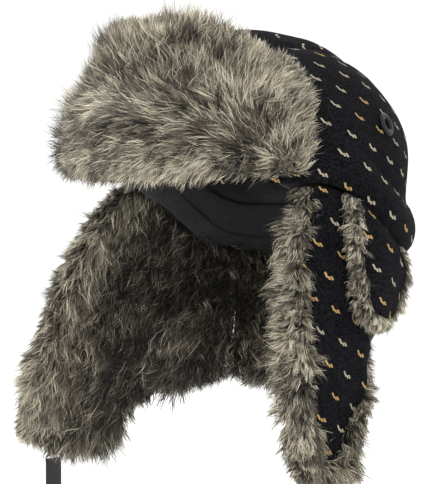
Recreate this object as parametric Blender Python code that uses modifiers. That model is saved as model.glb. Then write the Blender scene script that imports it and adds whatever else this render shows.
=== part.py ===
"""Trapper hat: knit crown, fur visor, ear flaps, nape curtain, side flaps and chin straps.

The hat faces -Y, the wearer's left is +X and +Z is up. The origin is the middle of the
head opening at brow height, where the wearer's head carries the hat.
"""

import math

import bmesh
import bpy
from mathutils import Vector

# Gaps, in metres
GAP = 0.0003
PLY_GAP = 0.0004
LOOSE_GAP = 0.0012
HEM_GAP = 0.0020
SEAM_GAP = 0.0008

# Crown
CROWN_HALF_WIDTH = 0.095
CROWN_HALF_DEPTH = 0.115
DOME_RISE = 0.090
WALL_RISE = 0.010
NAPE_DROP = 0.050
DROP_START_Y = -0.035
DROP_END_Y = 0.070
TOP_PANEL_HALF_WIDTH = 0.038
SWEATBAND_HEIGHT = 0.030

# Cloth layers
KNIT = 0.0018
WADDING = 0.0040
LINING = 0.0012
SWEATBAND = 0.0022
FUR = 0.0080
FUR_EDGE = 0.0040

# Visor
VISOR_ARC = math.radians(71)
VISOR_UNWRAP_FROM = math.radians(20)
VISOR_UNWRAP_TURN = 0.30
VISOR_HEIGHT = 0.112
VISOR_END_HEIGHT = {"left": 0.088, "right": 0.066}
VISOR_CORNER = {"left": 0.030, "right": 0.034}
VISOR_SLOPE_FROM = {"left": math.radians(25), "right": math.radians(6)}
VISOR_SLOPE_TO = {"left": math.radians(66), "right": math.radians(52)}
VISOR_LEAN = 0.14
VISOR_CLEARANCE = 0.0050
VISOR_FUR = 0.0130
STIFFENER = 0.0012
BACKING_INSET = 0.006
STIFFENER_INSET = 0.010
VISOR_FUR_EDGE_ARC = 0.02
TAPE = 0.0010
TAPE_HALF_ARC = math.radians(12)
TAPE_HEIGHT = 0.020
TAPE_BOTTOM = 0.012

# Ear flaps and nape curtain
SEAM = math.radians(125)
FLAP_FRONT_TOP_Y = -0.050
FLAP_FRONT_MID_Y = -0.070
FLAP_TIP_FRONT_Y = -0.064
FLAP_TIP_REAR_Y = -0.006
FLAP_TIP_Z = -0.190
FLAP_TIP_BULGE = 0.017
CURTAIN_CORNER_Z = -0.145
NAPE_BOTTOM_BULGE = 0.010
NECK_DEPTH = 0.092
NECK_DRAW_IN = 0.046
NECK_SIDE_DRAW_IN = 0.020
CHEEK_FLATTEN = 0.050
FUR_MARGIN = 0.017
FUR_TIP_MARGIN = 0.011
FLAP_CLOTH_SHARE = 0.90
FLARE = {"left": math.radians(3), "right": math.radians(26)}
FLARE_START = {"left": 0.0, "right": 0.014}
FLARE_BLEND = 0.115
HINGE_OUTSIDE = 0.012
VISOR_HINGE_OUTSIDE = 0.004
SIDE_HINGE_OUTSIDE = {"left": 0.016, "right": 0.008}

# Side flaps
SIDE_FLAP_FRONT_Y = -0.022
SIDE_FLAP_REAR_Y = 0.054
SIDE_FLAP_TAPER = 0.80
SIDE_FLAP_BOTTOM_Z = -0.101
SIDE_FLAP_MARGIN = 0.011
SIDE_FLAP_STAND_OFF = 0.0048

# Vent eyelets
EYELET_Y = 0.036
EYELET_RISE = math.radians(18)
EYELET_FLANGE_RADIUS = 0.0082
EYELET_HOLE_RADIUS = 0.0040
EYELET_BARREL_RADIUS = 0.0047
EYELET_FLANGE = 0.0012
WASHER_RADIUS = 0.0076

# Chin straps and buckle
STRAP_WIDTH = 0.015
STRAP_THICK = 0.0016
STRAP_SWING_GAP = 0.0013
STRAP_LENGTH = {"left": 0.105, "right": 0.130}
BUCKLE_WIDTH = 0.025
BUCKLE_THICK = 0.0085
BUCKLE_WALL = 0.0016
SOCKET_LENGTH = 0.026
PLUG_BASE_LENGTH = 0.013
PRONG_LENGTH = 0.017
PLUG_THICK = 0.0046
BAR = 0.0030
SLOT = 0.0034

# Colours: linear RGB, roughness, metallic
COLOURS = {
    "knit": ((0.013, 0.013, 0.018), 0.92, 0.0),
    "fur": ((0.165, 0.140, 0.105), 0.95, 0.0),
    "wadding": ((0.600, 0.590, 0.560), 0.95, 0.0),
    "lining": ((0.020, 0.020, 0.024), 0.55, 0.0),
    "sweatband": ((0.022, 0.022, 0.026), 0.85, 0.0),
    "stiffener": ((0.550, 0.530, 0.480), 0.90, 0.0),
    "tape": ((0.015, 0.015, 0.017), 0.90, 0.0),
    "eyelet": ((0.012, 0.012, 0.014), 0.35, 0.6),
    "webbing": ((0.010, 0.010, 0.012), 0.80, 0.0),
    "plastic": ((0.012, 0.012, 0.013), 0.40, 0.0),
}

SIDES = {"left": 1, "right": -1}
SHELL_IN = -KNIT
WADDING_OUT = SHELL_IN - LOOSE_GAP
WADDING_IN = WADDING_OUT - WADDING
LINING_OUT = WADDING_IN - PLY_GAP
LINING_IN = LINING_OUT - LINING
BAND_OUT = LINING_IN - LOOSE_GAP
BAND_IN = BAND_OUT - SWEATBAND
FUR_OUT = WADDING_IN - LOOSE_GAP
FUR_IN = FUR_OUT - FUR


def ease(x):
    """Smooth step from 0 to 1 as x goes from 0 to 1."""
    x = min(max(x, 0.0), 1.0)
    return x * x * (3 - 2 * x)


def mix(a, b, t):
    """The value a share t of the way from a to b."""
    return a + (b - a) * t


def spaced(start, end, count):
    """count + 1 even steps from start to end."""
    return [mix(start, end, i / count) for i in range(count + 1)]


# Scene helpers ------------------------------------------------------------


def clear_scene():
    """Remove every object of the scene."""
    for ob in list(bpy.data.objects):
        bpy.data.objects.remove(ob, do_unlink=True)


def collection(name):
    """A collection of the scene, made the first time it is asked for."""
    found = bpy.data.collections.get(name)
    if found is None:
        found = bpy.data.collections.new(name)
        bpy.context.scene.collection.children.link(found)
    return found


def material(kind):
    """The Principled material of one kind of cloth, fur or plastic."""
    found = bpy.data.materials.get(kind)
    if found is None:
        found = bpy.data.materials.new(kind)
        found.use_nodes = True
        colour, roughness, metallic = COLOURS[kind]
        shader = found.node_tree.nodes["Principled BSDF"]
        shader.inputs["Base Color"].default_value = (*colour, 1.0)
        shader.inputs["Roughness"].default_value = roughness
        shader.inputs["Metallic"].default_value = metallic
    return found


def finish(name, bm, kind, pivot=(0, 0, 0)):
    """Make the object name from a bmesh, with its origin at the pivot of its joint."""
    bmesh.ops.recalc_face_normals(bm, faces=bm.faces[:])
    if bm.calc_volume(signed=True) < 0:
        bmesh.ops.reverse_faces(bm, faces=bm.faces[:])
    bmesh.ops.translate(bm, verts=bm.verts[:], vec=-Vector(pivot))
    mesh = bpy.data.meshes.new(name)
    bm.to_mesh(mesh)
    bm.free()
    mesh.shade_smooth()
    mesh.set_sharp_from_angle(angle=math.radians(40))
    mesh.materials.append(material(kind))
    ob = bpy.data.objects.new(name, mesh)
    ob.location = pivot
    collection("trapper_hat").objects.link(ob)
    return ob


def slab(bm, us, vs, place, outer, inner):
    """Close a layer of cloth between two heights over a grid of us by vs.

    place(u, v, height) gives a point in space; outer and inner are heights, or
    functions of u and v that give one.
    """
    bmesh.ops.create_grid(bm, x_segments=len(us) - 1, y_segments=len(vs) - 1, size=1)
    for vert in bm.verts:
        i = round((vert.co.x + 1) / 2 * (len(us) - 1))
        j = round((vert.co.y + 1) / 2 * (len(vs) - 1))
        vert.co = (us[i], vs[j], 0)
    thicken(bm, place, outer, inner)


def thicken(bm, place, outer, inner):
    """Extrude a flat chart and place both of its faces in space."""
    top = bmesh.ops.extrude_face_region(bm, geom=bm.faces[:])["geom"]
    raised = {part for part in top if isinstance(part, bmesh.types.BMVert)}
    for vert in bm.verts:
        u, v = vert.co.x, vert.co.y
        height = outer if vert in raised else inner
        vert.co = place(u, v, height(u, v) if callable(height) else height)


def cutter(name, bm, place=(0, 0, 0), turn=None):
    """A hidden solid that another piece is cut with."""
    bmesh.ops.recalc_face_normals(bm, faces=bm.faces[:])
    mesh = bpy.data.meshes.new(name)
    bm.to_mesh(mesh)
    bm.free()
    ob = bpy.data.objects.new(name, mesh)
    ob.location = place
    if turn is not None:
        ob.rotation_mode = "QUATERNION"
        ob.rotation_quaternion = turn
    ob.hide_render = True
    ob.display_type = "WIRE"
    collection("cutters").objects.link(ob)
    return ob


def cut(ob, tool):
    """Cut tool out of ob."""
    cutting = ob.modifiers.new("cut " + tool.name, "BOOLEAN")
    cutting.operation = "DIFFERENCE"
    cutting.solver = "EXACT"
    cutting.object = tool


def box(size, centre):
    """A bmesh box of this size about this centre."""
    bm = bmesh.new()
    bmesh.ops.create_cube(bm, size=1)
    bmesh.ops.scale(bm, verts=bm.verts[:], vec=size)
    bmesh.ops.translate(bm, verts=bm.verts[:], vec=centre)
    return bm


# Crown --------------------------------------------------------------------


def hem_height(y):
    """Height of the crown's lower edge, which drops behind the ears."""
    return -NAPE_DROP * ease((y - DROP_START_Y) / (DROP_END_Y - DROP_START_Y))


def crown_point(phi, rise, height):
    """Point of the crown at heading phi from the front, height outside its cloth.

    rise from 0 to 90 degrees climbs the dome, and from 0 to -1 goes down the wall to
    the lower edge.
    """
    a, b, h = CROWN_HALF_WIDTH, CROWN_HALF_DEPTH, DOME_RISE
    flat = math.cos(max(rise, 0.0))
    lift = math.sin(max(rise, 0.0))
    x = a * flat * math.sin(phi)
    y = -b * flat * math.cos(phi)
    z = WALL_RISE + h * lift
    if rise < 0:
        z = mix(WALL_RISE, hem_height(y), -rise)
    normal = Vector((x / a**2, y / b**2, lift / h)).normalized()
    return Vector((x, y, z)) + normal * height


def crown_at(phi, z, height):
    """Point of the crown at heading phi and height z of its cloth."""
    if z >= WALL_RISE:
        return crown_point(phi, math.asin(min((z - WALL_RISE) / DOME_RISE, 1.0)), height)
    hem = hem_height(-CROWN_HALF_DEPTH * math.cos(phi))
    return crown_point(phi, (z - WALL_RISE) / (WALL_RISE - hem), height)


def crown_side_panels():
    """Left and right knit panels from the lower edge up to the seam at the top panel."""
    reach = (TOP_PANEL_HALF_WIDTH + GAP) / CROWN_HALF_WIDTH
    half_arc = math.acos(reach)
    us = [math.pi / 2 - half_arc * math.cos(math.pi * t) for t in spaced(0, 1, 24)]
    vs = spaced(-1, 0, 2) + spaced(0, 1, 6)[1:]
    for side, sign in SIDES.items():

        def place(phi, v, height, sign=sign):
            crest = math.acos(min(reach / math.sin(phi), 1.0))
            rise = v if v < 0 else v * crest
            p = crown_point(phi, rise, height)
            return Vector((sign * p.x, p.y, p.z))

        bm = bmesh.new()
        slab(bm, us, vs, place, 0.0, SHELL_IN)
        finish("crown_side_panel_" + side, bm, "knit")


def crown_top_panel():
    """Knit panel over the top, from the brow to the nape."""
    reach = (TOP_PANEL_HALF_WIDTH - GAP) / CROWN_HALF_WIDTH

    def place(u, v, height):
        a, b, h = CROWN_HALF_WIDTH, CROWN_HALF_DEPTH, DOME_RISE
        x = a * u
        narrow = math.sqrt(1 - u * u)
        swing = min(max(v, 0.0), math.pi)
        y = -b * narrow * math.cos(swing)
        lift = narrow * math.sin(swing)
        z = WALL_RISE + h * lift
        below = max(-v, v - math.pi, 0.0)
        z = mix(z, hem_height(y), below) if below > 0 else z
        normal = Vector((x / a**2, y / b**2, lift / h)).normalized()
        return Vector((x, y, z)) + normal * height

    us = spaced(-reach, reach, 6)
    vs = [-1] + spaced(0, math.pi, 18) + [math.pi + t for t in (0.33, 0.67, 1.0)]
    bm = bmesh.new()
    slab(bm, us, vs, place, 0.0, SHELL_IN)
    finish("crown_top_panel", bm, "knit")


def crown_chart(wall_rows):
    """Flat chart of the whole crown: heading by rise, with its tip closed."""
    bm = bmesh.new()
    bmesh.ops.create_uvsphere(bm, u_segments=36, v_segments=16, radius=1)
    lowest = -math.radians(11.25) * wall_rows
    low = [v for v in bm.verts if math.asin(max(min(v.co.z, 1), -1)) < lowest - 0.02]
    bmesh.ops.delete(bm, geom=low, context="VERTS")
    return bm


def crown_layer(name, kind, outer, inner):
    """One whole layer of the crown, inside the knit panels."""
    wall_rows = 2
    bm = crown_chart(wall_rows)
    lowest = math.radians(11.25) * wall_rows
    headings = {}
    top = bmesh.ops.extrude_face_region(bm, geom=bm.faces[:])["geom"]
    raised = {part for part in top if isinstance(part, bmesh.types.BMVert)}
    for vert in bm.verts:
        rise = math.asin(max(min(vert.co.z, 1), -1))
        phi = math.atan2(vert.co.x, -vert.co.y)
        headings[vert] = (phi, rise / lowest if rise < -1e-4 else max(rise, 0.0))
    for vert, (phi, rise) in headings.items():
        vert.co = crown_point(phi, rise, outer if vert in raised else inner)
    return finish(name, bm, kind)


def sweatband():
    """Band inside the lower edge, which lies against the head."""

    def place(phi, v, height):
        hem = hem_height(-CROWN_HALF_DEPTH * math.cos(phi))
        return crown_at(phi, hem + v, height)

    bm = bmesh.new()
    rows = spaced(0, SWEATBAND_HEIGHT, 3)
    slab(bm, spaced(0, 2 * math.pi, 40), rows, place, BAND_OUT, BAND_IN)
    bmesh.ops.remove_doubles(bm, verts=bm.verts[:], dist=1e-6)
    walls = [f for f in bm.faces if all(abs(v.co.x) < 1e-5 for v in f.verts)]
    bmesh.ops.delete(bm, geom=walls, context="FACES_ONLY")
    finish("sweatband", bm, "sweatband")


def eyelet_spot(sign):
    """Place and outward direction of a vent eyelet on the crown."""
    flat = math.cos(EYELET_RISE)
    phi = math.acos(-EYELET_Y / (CROWN_HALF_DEPTH * flat))
    spot = crown_point(phi, EYELET_RISE, 0.0)
    out = (crown_point(phi, EYELET_RISE, 1.0) - spot).normalized()
    return Vector((sign * spot.x, spot.y, spot.z)), Vector((sign * out.x, out.y, out.z))


def turned(name, kind, profile, spot, out):
    """Turn a closed profile of (radius, height) points about the direction out."""
    mesh = bpy.data.meshes.new(name)
    points = [(r, 0.0, z) for r, z in profile]
    count = len(points)
    mesh.from_pydata(points, [(i, (i + 1) % count) for i in range(count)], [])
    mesh.materials.append(material(kind))
    ob = bpy.data.objects.new(name, mesh)
    screw = ob.modifiers.new("turn", "SCREW")
    screw.steps = 24
    screw.render_steps = 24
    screw.use_merge_vertices = True
    screw.merge_threshold = 0.00001
    screw.use_smooth_shade = True
    ob.location = spot
    ob.rotation_mode = "QUATERNION"
    ob.rotation_quaternion = out.to_track_quat("Z", "Y")
    collection("trapper_hat").objects.link(ob)
    return ob


def eyelets(layers):
    """Vent eyelets and their washers, through all layers of each side panel."""
    hole = EYELET_BARREL_RADIUS + GAP
    back = LINING_IN - 0.0022
    seat = GAP
    for side, sign in SIDES.items():
        spot, out = eyelet_spot(sign)
        bm = bmesh.new()
        bmesh.ops.create_cone(
            bm, cap_ends=True, segments=24, radius1=hole, radius2=hole, depth=0.040
        )
        tool = cutter("eyelet_hole_" + side, bm, spot, out.to_track_quat("Z", "Y"))
        for layer in layers + ["crown_side_panel_" + side]:
            cut(bpy.data.objects[layer], tool)
        ring = [
            (EYELET_HOLE_RADIUS, seat + EYELET_FLANGE),
            (EYELET_FLANGE_RADIUS - 0.0006, seat + EYELET_FLANGE),
            (EYELET_FLANGE_RADIUS, seat + EYELET_FLANGE / 2),
            (EYELET_FLANGE_RADIUS, seat),
            (EYELET_BARREL_RADIUS, seat),
            (EYELET_BARREL_RADIUS, back - EYELET_FLANGE),
            (EYELET_HOLE_RADIUS, back - EYELET_FLANGE),
        ]
        turned("eyelet_" + side, "eyelet", ring, spot, out)
        washer = [
            (EYELET_BARREL_RADIUS + GAP, back),
            (WASHER_RADIUS, back),
            (WASHER_RADIUS, back - EYELET_FLANGE),
            (EYELET_BARREL_RADIUS + GAP, back - EYELET_FLANGE),
        ]
        turned("eyelet_washer_" + side, "eyelet", washer, spot, out)


# Visor --------------------------------------------------------------------


def visor_point(phi, z, height):
    """Point of the visor, whose right end leaves the crown on a straight line."""
    back = VISOR_CLEARANCE - VISOR_LEAN * max(z - WALL_RISE, 0.0)
    a = CROWN_HALF_WIDTH + back
    b = CROWN_HALF_DEPTH + back
    bend = max(phi, -VISOR_UNWRAP_FROM)
    spot = Vector((a * math.sin(bend), -b * math.cos(bend), z))
    run = Vector((a * math.cos(bend), b * math.sin(bend), 0))
    out = Vector((math.sin(bend) / a, -math.cos(bend) / b, 0)).normalized()
    turn = VISOR_UNWRAP_TURN * (phi - bend)
    radius = run.length / VISOR_UNWRAP_TURN
    run.normalize()
    spot += run * (radius * math.sin(turn)) - out * (radius * (1 - math.cos(turn)))
    out = out * math.cos(turn) + run * math.sin(turn)
    out = (out + Vector((0, 0, VISOR_LEAN))).normalized()
    return spot + out * height


def visor_top(phi):
    """Height of the visor's upper edge, lower and rounded at the ends."""
    side = "left" if phi > 0 else "right"
    share = abs(phi) / VISOR_ARC
    slope = (abs(phi) - VISOR_SLOPE_FROM[side]) / (VISOR_SLOPE_TO[side] - VISOR_SLOPE_FROM[side])
    top = mix(VISOR_HEIGHT, VISOR_END_HEIGHT[side], ease(slope))
    return top - VISOR_CORNER[side] * max(0.0, (share - 0.80) / 0.20) ** 2


def visor_layer(name, kind, inset, outer, inner, columns=18, rows=7, pivot=(0, 0, 0)):
    """One layer of the visor, inset from its edges."""
    trim = inset / CROWN_HALF_DEPTH
    us = spaced(-VISOR_ARC + trim, VISOR_ARC - trim, columns)
    vs = spaced(0, 1, rows)

    def place(phi, v, height):
        z = mix(GAP * 2 + inset * 0.5, visor_top(phi) - inset, v)
        return visor_point(phi, z, height)

    bm = bmesh.new()
    slab(bm, us, vs, place, outer, inner)
    finish(name, bm, kind, pivot)


def visor(pivot):
    """Turned-up visor: knit backing, stiffener and fur, with its closing tape."""
    backing_out = KNIT
    stiff_in = backing_out + PLY_GAP
    fur_in = stiff_in + STIFFENER + PLY_GAP
    visor_layer("visor_backing", "knit", BACKING_INSET, backing_out, 0.0, pivot=pivot)
    stiff_out = stiff_in + STIFFENER
    visor_layer("visor_stiffener", "stiffener", STIFFENER_INSET, stiff_out, stiff_in, pivot=pivot)

    def fur_height(phi, v):
        end = (VISOR_ARC - abs(phi)) / VISOR_FUR_EDGE_ARC
        edge = min(1.0, end, v * 5, (1 - v) * 5)
        return fur_in + mix(VISOR_FUR * 0.45, VISOR_FUR, ease(edge))

    visor_layer("visor_fur", "fur", 0.0, fur_height, fur_in, 24, 8, pivot)


def closing_tapes(pivot):
    """Hook tape on the visor's back and loop tape on the crown in front."""
    us = spaced(-TAPE_HALF_ARC, TAPE_HALF_ARC, 4)
    vs = spaced(TAPE_BOTTOM, TAPE_BOTTOM + TAPE_HEIGHT, 2)

    bm = bmesh.new()
    slab(bm, us, vs, crown_at, GAP * 2 + TAPE, GAP * 2)
    finish("crown_loop_tape", bm, "tape")
    bm = bmesh.new()
    slab(bm, us, vs, visor_point, -LOOSE_GAP, -LOOSE_GAP - TAPE)
    finish("visor_hook_tape", bm, "tape", pivot)


# Ear flaps and nape curtain -------------------------------------------------


def neck_axes(depth):
    """Half width and half depth of the curtain behind the ears, a depth below the hem."""
    drawn = ease(depth / NECK_DEPTH)
    return CROWN_HALF_WIDTH - NECK_SIDE_DRAW_IN * drawn, CROWN_HALF_DEPTH - NECK_DRAW_IN * drawn


def seam_y(z):
    """Where the seam between an ear flap and the nape curtain lies at a height."""
    y = -CROWN_HALF_DEPTH * math.cos(SEAM)
    for _ in range(3):
        y = -neck_axes(max(hem_height(y) - z, 0.0))[1] * math.cos(SEAM)
    return y


def curtain_x(side, y, z):
    """How far from the middle the curtain's cloth lies at a depth and a height."""
    depth = max(hem_height(y) - z, 0.0)
    a = CROWN_HALF_WIDTH
    b = CROWN_HALF_DEPTH + CHEEK_FLATTEN * ease(depth / 0.09)
    if y > 0:
        a, b = neck_axes(depth)
        a = mix(CROWN_HALF_WIDTH, a, ease(y / seam_y(z)))
    x = a * math.sqrt(max(1 - (y / b) ** 2, 0.0))
    flare = FLARE_START[side] * (1 - math.exp(-depth / 0.015))
    flare += math.tan(FLARE[side]) * depth
    return x + flare * ease((seam_y(z) - y) / FLARE_BLEND)


def curtain_point(side, y, z, height):
    """Point of an ear flap at y and z, height outside its cloth."""
    step = 0.0005
    x = curtain_x(side, y, z)
    slope_y = (curtain_x(side, y + step, z) - curtain_x(side, y - step, z)) / (2 * step)
    slope_z = (curtain_x(side, y, z + step) - curtain_x(side, y, z - step)) / (2 * step)
    slope_z = min(max(slope_z, -0.6), 0.6)
    p = Vector((x, y, z)) + Vector((1, -slope_y, -slope_z)).normalized() * height
    return Vector((SIDES[side] * p.x, p.y, p.z))


def flap_edge(v):
    """Front and rear edge of the ear flap at share v of the way down."""
    front_top = Vector((FLAP_FRONT_TOP_Y, hem_height(FLAP_FRONT_TOP_Y) - HEM_GAP))
    front_mid = Vector((FLAP_FRONT_MID_Y, FLAP_TIP_Z * 0.45))
    front_tip = Vector((FLAP_TIP_FRONT_Y, FLAP_TIP_Z))
    bow = front_mid * 2 - (front_top + front_tip) / 2
    front = front_top * (1 - v) ** 2 + bow * 2 * v * (1 - v) + front_tip * v**2
    straight = 0.50
    if v <= straight:
        z = mix(hem_height(seam_y(-NAPE_DROP)) - HEM_GAP, CURTAIN_CORNER_Z, v / straight)
        return front, Vector((seam_y(z) - SEAM_GAP, z))
    t = (v - straight) / (1 - straight)
    corner = Vector((seam_y(CURTAIN_CORNER_Z) - SEAM_GAP, CURTAIN_CORNER_Z))
    pull_a = corner + Vector((-0.020, -0.006))
    pull_b = Vector((FLAP_TIP_REAR_Y + 0.006, CURTAIN_CORNER_Z - 0.006))
    tip = Vector((FLAP_TIP_REAR_Y, FLAP_TIP_Z))
    rear = corner * (1 - t) ** 3 + pull_a * 3 * t * (1 - t) ** 2
    rear = rear + pull_b * 3 * t**2 * (1 - t) + tip * t**3
    return front, rear


def flap_spot(u, v):
    """Flat place (y, z) of the ear flap at share u from front to rear and v down."""
    front, rear = flap_edge(v)
    y, z = front.lerp(rear, u)
    top = hem_height(y)
    blend = (1 - v) ** 3
    straight_top = mix(hem_height(FLAP_FRONT_TOP_Y), hem_height(seam_y(-NAPE_DROP)), u)
    z += (top - straight_top) * blend
    z -= FLAP_TIP_BULGE * 4 * u * (1 - u) * v**3
    return y, z


def flap_width(v):
    """Width of the ear flap at share v of the way down."""
    front, rear = flap_edge(v)
    return (rear - front).length


def seam_share(v):
    """1 where the ear flap's rear edge is free, falling to 0 at the curtain's seam."""
    return mix(0.12, 1.0, ease((v - 0.30) / 0.20))


def flap_layer(name, side, kind, margin, low, outer, inner, pivot, columns=8, rows=10):
    """One layer of an ear flap inside the fur's margin."""

    def place(u, v, height):
        v = v * low
        width = flap_width(v)
        start = (margin + FUR_TIP_MARGIN * v**3) / width
        end = 1 - margin * seam_share(v) / width
        y, z = flap_spot(mix(start, end, u), v)
        return curtain_point(side, y, z, height)

    bm = bmesh.new()
    slab(bm, spaced(0, 1, columns), spaced(0, 1, rows), place, outer, inner)
    finish(name, bm, kind, pivot)


ROLL_SHARES = (0.0, 0.22, 0.55, 0.78, 0.97)
ROLL_OUT = (-0.0065, -0.0010, FUR_EDGE, FUR_EDGE - 0.0015, FUR_OUT)
ROLL_IN = (-0.0105, FUR_IN + 0.0012, FUR_IN, FUR_IN, FUR_IN)


def roll_height(index, table, rolled):
    """Height of the fur at one line of its rolled margin."""
    flat = FUR_OUT if table is ROLL_OUT else FUR_IN
    if index >= len(ROLL_SHARES) - 1:
        return flat
    return mix(flat, table[index], rolled)


def flap_fur(name, side, low, pivot):
    """Fur lining of an ear flap, rolled over the edges of the knit."""
    lines = len(ROLL_SHARES)
    columns = 6
    us = list(range(lines + columns + lines - 1))
    rows = 8
    vs = list(range(rows + lines))

    def across(i, width, seam, front):
        if i < lines:
            return front * ROLL_SHARES[i] / width, i, 1.0
        back = len(us) - 1 - i
        if back < lines:
            return 1 - FUR_MARGIN * seam * ROLL_SHARES[back] / width, back, seam
        first = front * ROLL_SHARES[-1] / width
        last = 1 - FUR_MARGIN * seam * ROLL_SHARES[-1] / width
        return mix(first, last, (i - lines + 1) / columns), lines, 1.0

    def down(j):
        if j <= rows:
            return low * j / rows, lines
        step = j - rows
        return mix(low, 1.0, 1 - ROLL_SHARES[lines - 1 - step] / ROLL_SHARES[-1]), lines - 1 - step

    def place(i, j, table):
        v, row_line = down(round(j))
        width = flap_width(v)
        front_margin = FUR_MARGIN + FUR_TIP_MARGIN * v**3
        u, line, rolled = across(round(i), width, seam_share(v), front_margin)
        y, z = flap_spot(u, v)
        free = ease((rolled - 0.12) / 0.6) if rolled < 1 else 1.0
        height = roll_height(line, table, free)
        if row_line < lines:
            edge = roll_height(row_line, table, 1.0)
            height = min(height, edge) if table is ROLL_OUT and line < 2 else edge
            if line < lines and table is ROLL_OUT:
                height = min(edge, roll_height(line, table, 1.0))
            if line < lines and table is ROLL_IN:
                height = max(edge, roll_height(line, table, 1.0))
        return curtain_point(side, y, z, height)

    bm = bmesh.new()
    slab(bm, us, vs, place, lambda i, j: ROLL_OUT, lambda i, j: ROLL_IN)
    finish(name, bm, "fur", pivot)


def nape_layer(name, kind, margin, outer, inner, pivot, columns=12, rows=5):
    """One layer of the nape curtain between the two ear flaps."""

    def place(u, v, height):
        bottom = CURTAIN_CORNER_Z - NAPE_BOTTOM_BULGE * math.sin(math.pi * u) + margin
        start = SEAM + SEAM_GAP / CROWN_HALF_WIDTH
        phi = mix(start, 2 * math.pi - start, u)
        y = -CROWN_HALF_DEPTH * math.cos(phi)
        z = mix(hem_height(y) - HEM_GAP, bottom, v)
        a, b = neck_axes(hem_height(y) - z)
        spot = Vector((a * math.sin(phi), -b * math.cos(phi), z))
        out = Vector((math.sin(phi) / a, -math.cos(phi) / b, 0)).normalized()
        return spot + out * height

    bm = bmesh.new()
    vs = spaced(0, 1, rows)
    slab(bm, spaced(0, 1, columns), vs, place, outer, inner)
    finish(name, bm, kind, pivot)


def ear_flaps(pivots):
    """Both ear flaps: knit, wadding and fur."""
    low = FLAP_CLOTH_SHARE
    for side in SIDES:
        pivot = pivots["ear_flap_" + side]
        name = "ear_flap_shell_" + side
        flap_layer(name, side, "knit", FUR_MARGIN, low, 0.0, SHELL_IN, pivot)
        name = "ear_flap_wadding_" + side
        margin = FUR_MARGIN + 0.003
        flap_layer(name, side, "wadding", margin, low, WADDING_OUT, WADDING_IN, pivot, 8, 8)
        flap_fur("ear_flap_fur_" + side, side, low + 0.004, pivot)


def nape_curtain(pivot):
    """Nape curtain: knit, wadding and fur."""
    nape_layer("nape_shell", "knit", 0.012, 0.0, SHELL_IN, pivot)
    nape_layer("nape_wadding", "wadding", 0.015, WADDING_OUT, WADDING_IN, pivot)

    def fur_height(u, v):
        return FUR_OUT if v < 0.95 else FUR_OUT - 0.002

    nape_layer("nape_fur", "fur", 0.0, fur_height, FUR_IN, pivot)


# Side flaps -----------------------------------------------------------------


def side_flap_spot(u, v):
    """Flat place (y, z) of the side flap, a U that hangs from the crown's edge."""
    y = mix(SIDE_FLAP_FRONT_Y, SIDE_FLAP_REAR_Y, u)
    middle = (SIDE_FLAP_FRONT_Y + SIDE_FLAP_REAR_Y) / 2
    y = mix(y, mix(middle, y, SIDE_FLAP_TAPER), ease((v - 0.45) / 0.55))
    top = hem_height(y) - HEM_GAP
    bottom = SIDE_FLAP_BOTTOM_Z + 0.012 * (2 * u - 1) ** 2
    return y, mix(top, bottom, v)


def side_flap_layer(name, side, kind, margin, outer, inner, pivot, columns=6, rows=7):
    """One layer of a side flap, lying outside the ear flap's knit."""
    width = SIDE_FLAP_REAR_Y - SIDE_FLAP_FRONT_Y
    trim = margin / width

    def place(u, v, height):
        y, z = side_flap_spot(mix(trim, 1 - trim, u), v)
        if margin:
            top = hem_height(y) - HEM_GAP
            z = mix(top, z + margin, v)
        lift = ease((hem_height(y) - z) / 0.020)
        stand = mix(LOOSE_GAP, SIDE_FLAP_STAND_OFF, lift)
        return curtain_point(side, y, z, stand + height * mix(0.45, 1.0, lift))

    bm = bmesh.new()
    slab(bm, spaced(0, 1, columns), spaced(0, 1, rows), place, outer, inner)
    finish(name, bm, kind, pivot)


def side_flaps(pivots):
    """Short U-shaped flaps over the top of each ear flap: fur below, knit on top."""
    for side in SIDES:
        pivot = pivots["side_flap_" + side]
        fur_top = FUR * 0.75
        side_flap_layer("side_flap_fur_" + side, side, "fur", 0.0, fur_top, 0.0, pivot)
        knit_in = fur_top + LOOSE_GAP
        name = "side_flap_shell_" + side
        side_flap_layer(
            name, side, "knit", SIDE_FLAP_MARGIN, knit_in + KNIT, knit_in, pivot
        )


# Chin straps and buckle -------------------------------------------------------


def flap_tip(side):
    """Lowest middle point of an ear flap, where its chin strap is sewn in."""
    y, z = flap_spot(0.5, 1.0)
    ends = [curtain_point(side, y, z, height) for height in (ROLL_OUT[0], ROLL_IN[0])]
    middle = (ends[0] + ends[1]) / 2
    middle.z = min(end.z for end in ends) - STRAP_SWING_GAP
    return middle


def chin_strap(side, top):
    """Flat webbing that hangs from an ear flap to its half of the buckle."""
    length = STRAP_LENGTH[side]
    name = "chin_strap_" + side
    bm = box((STRAP_THICK, STRAP_WIDTH, length), (top.x, top.y, top.z - length / 2))
    lengthwise = [e for e in bm.edges if abs(e.verts[0].co.z - e.verts[1].co.z) > length / 2]
    bmesh.ops.subdivide_edges(bm, edges=lengthwise, cuts=10, use_grid_fill=True)
    return finish(name, bm, "webbing", top)


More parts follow.
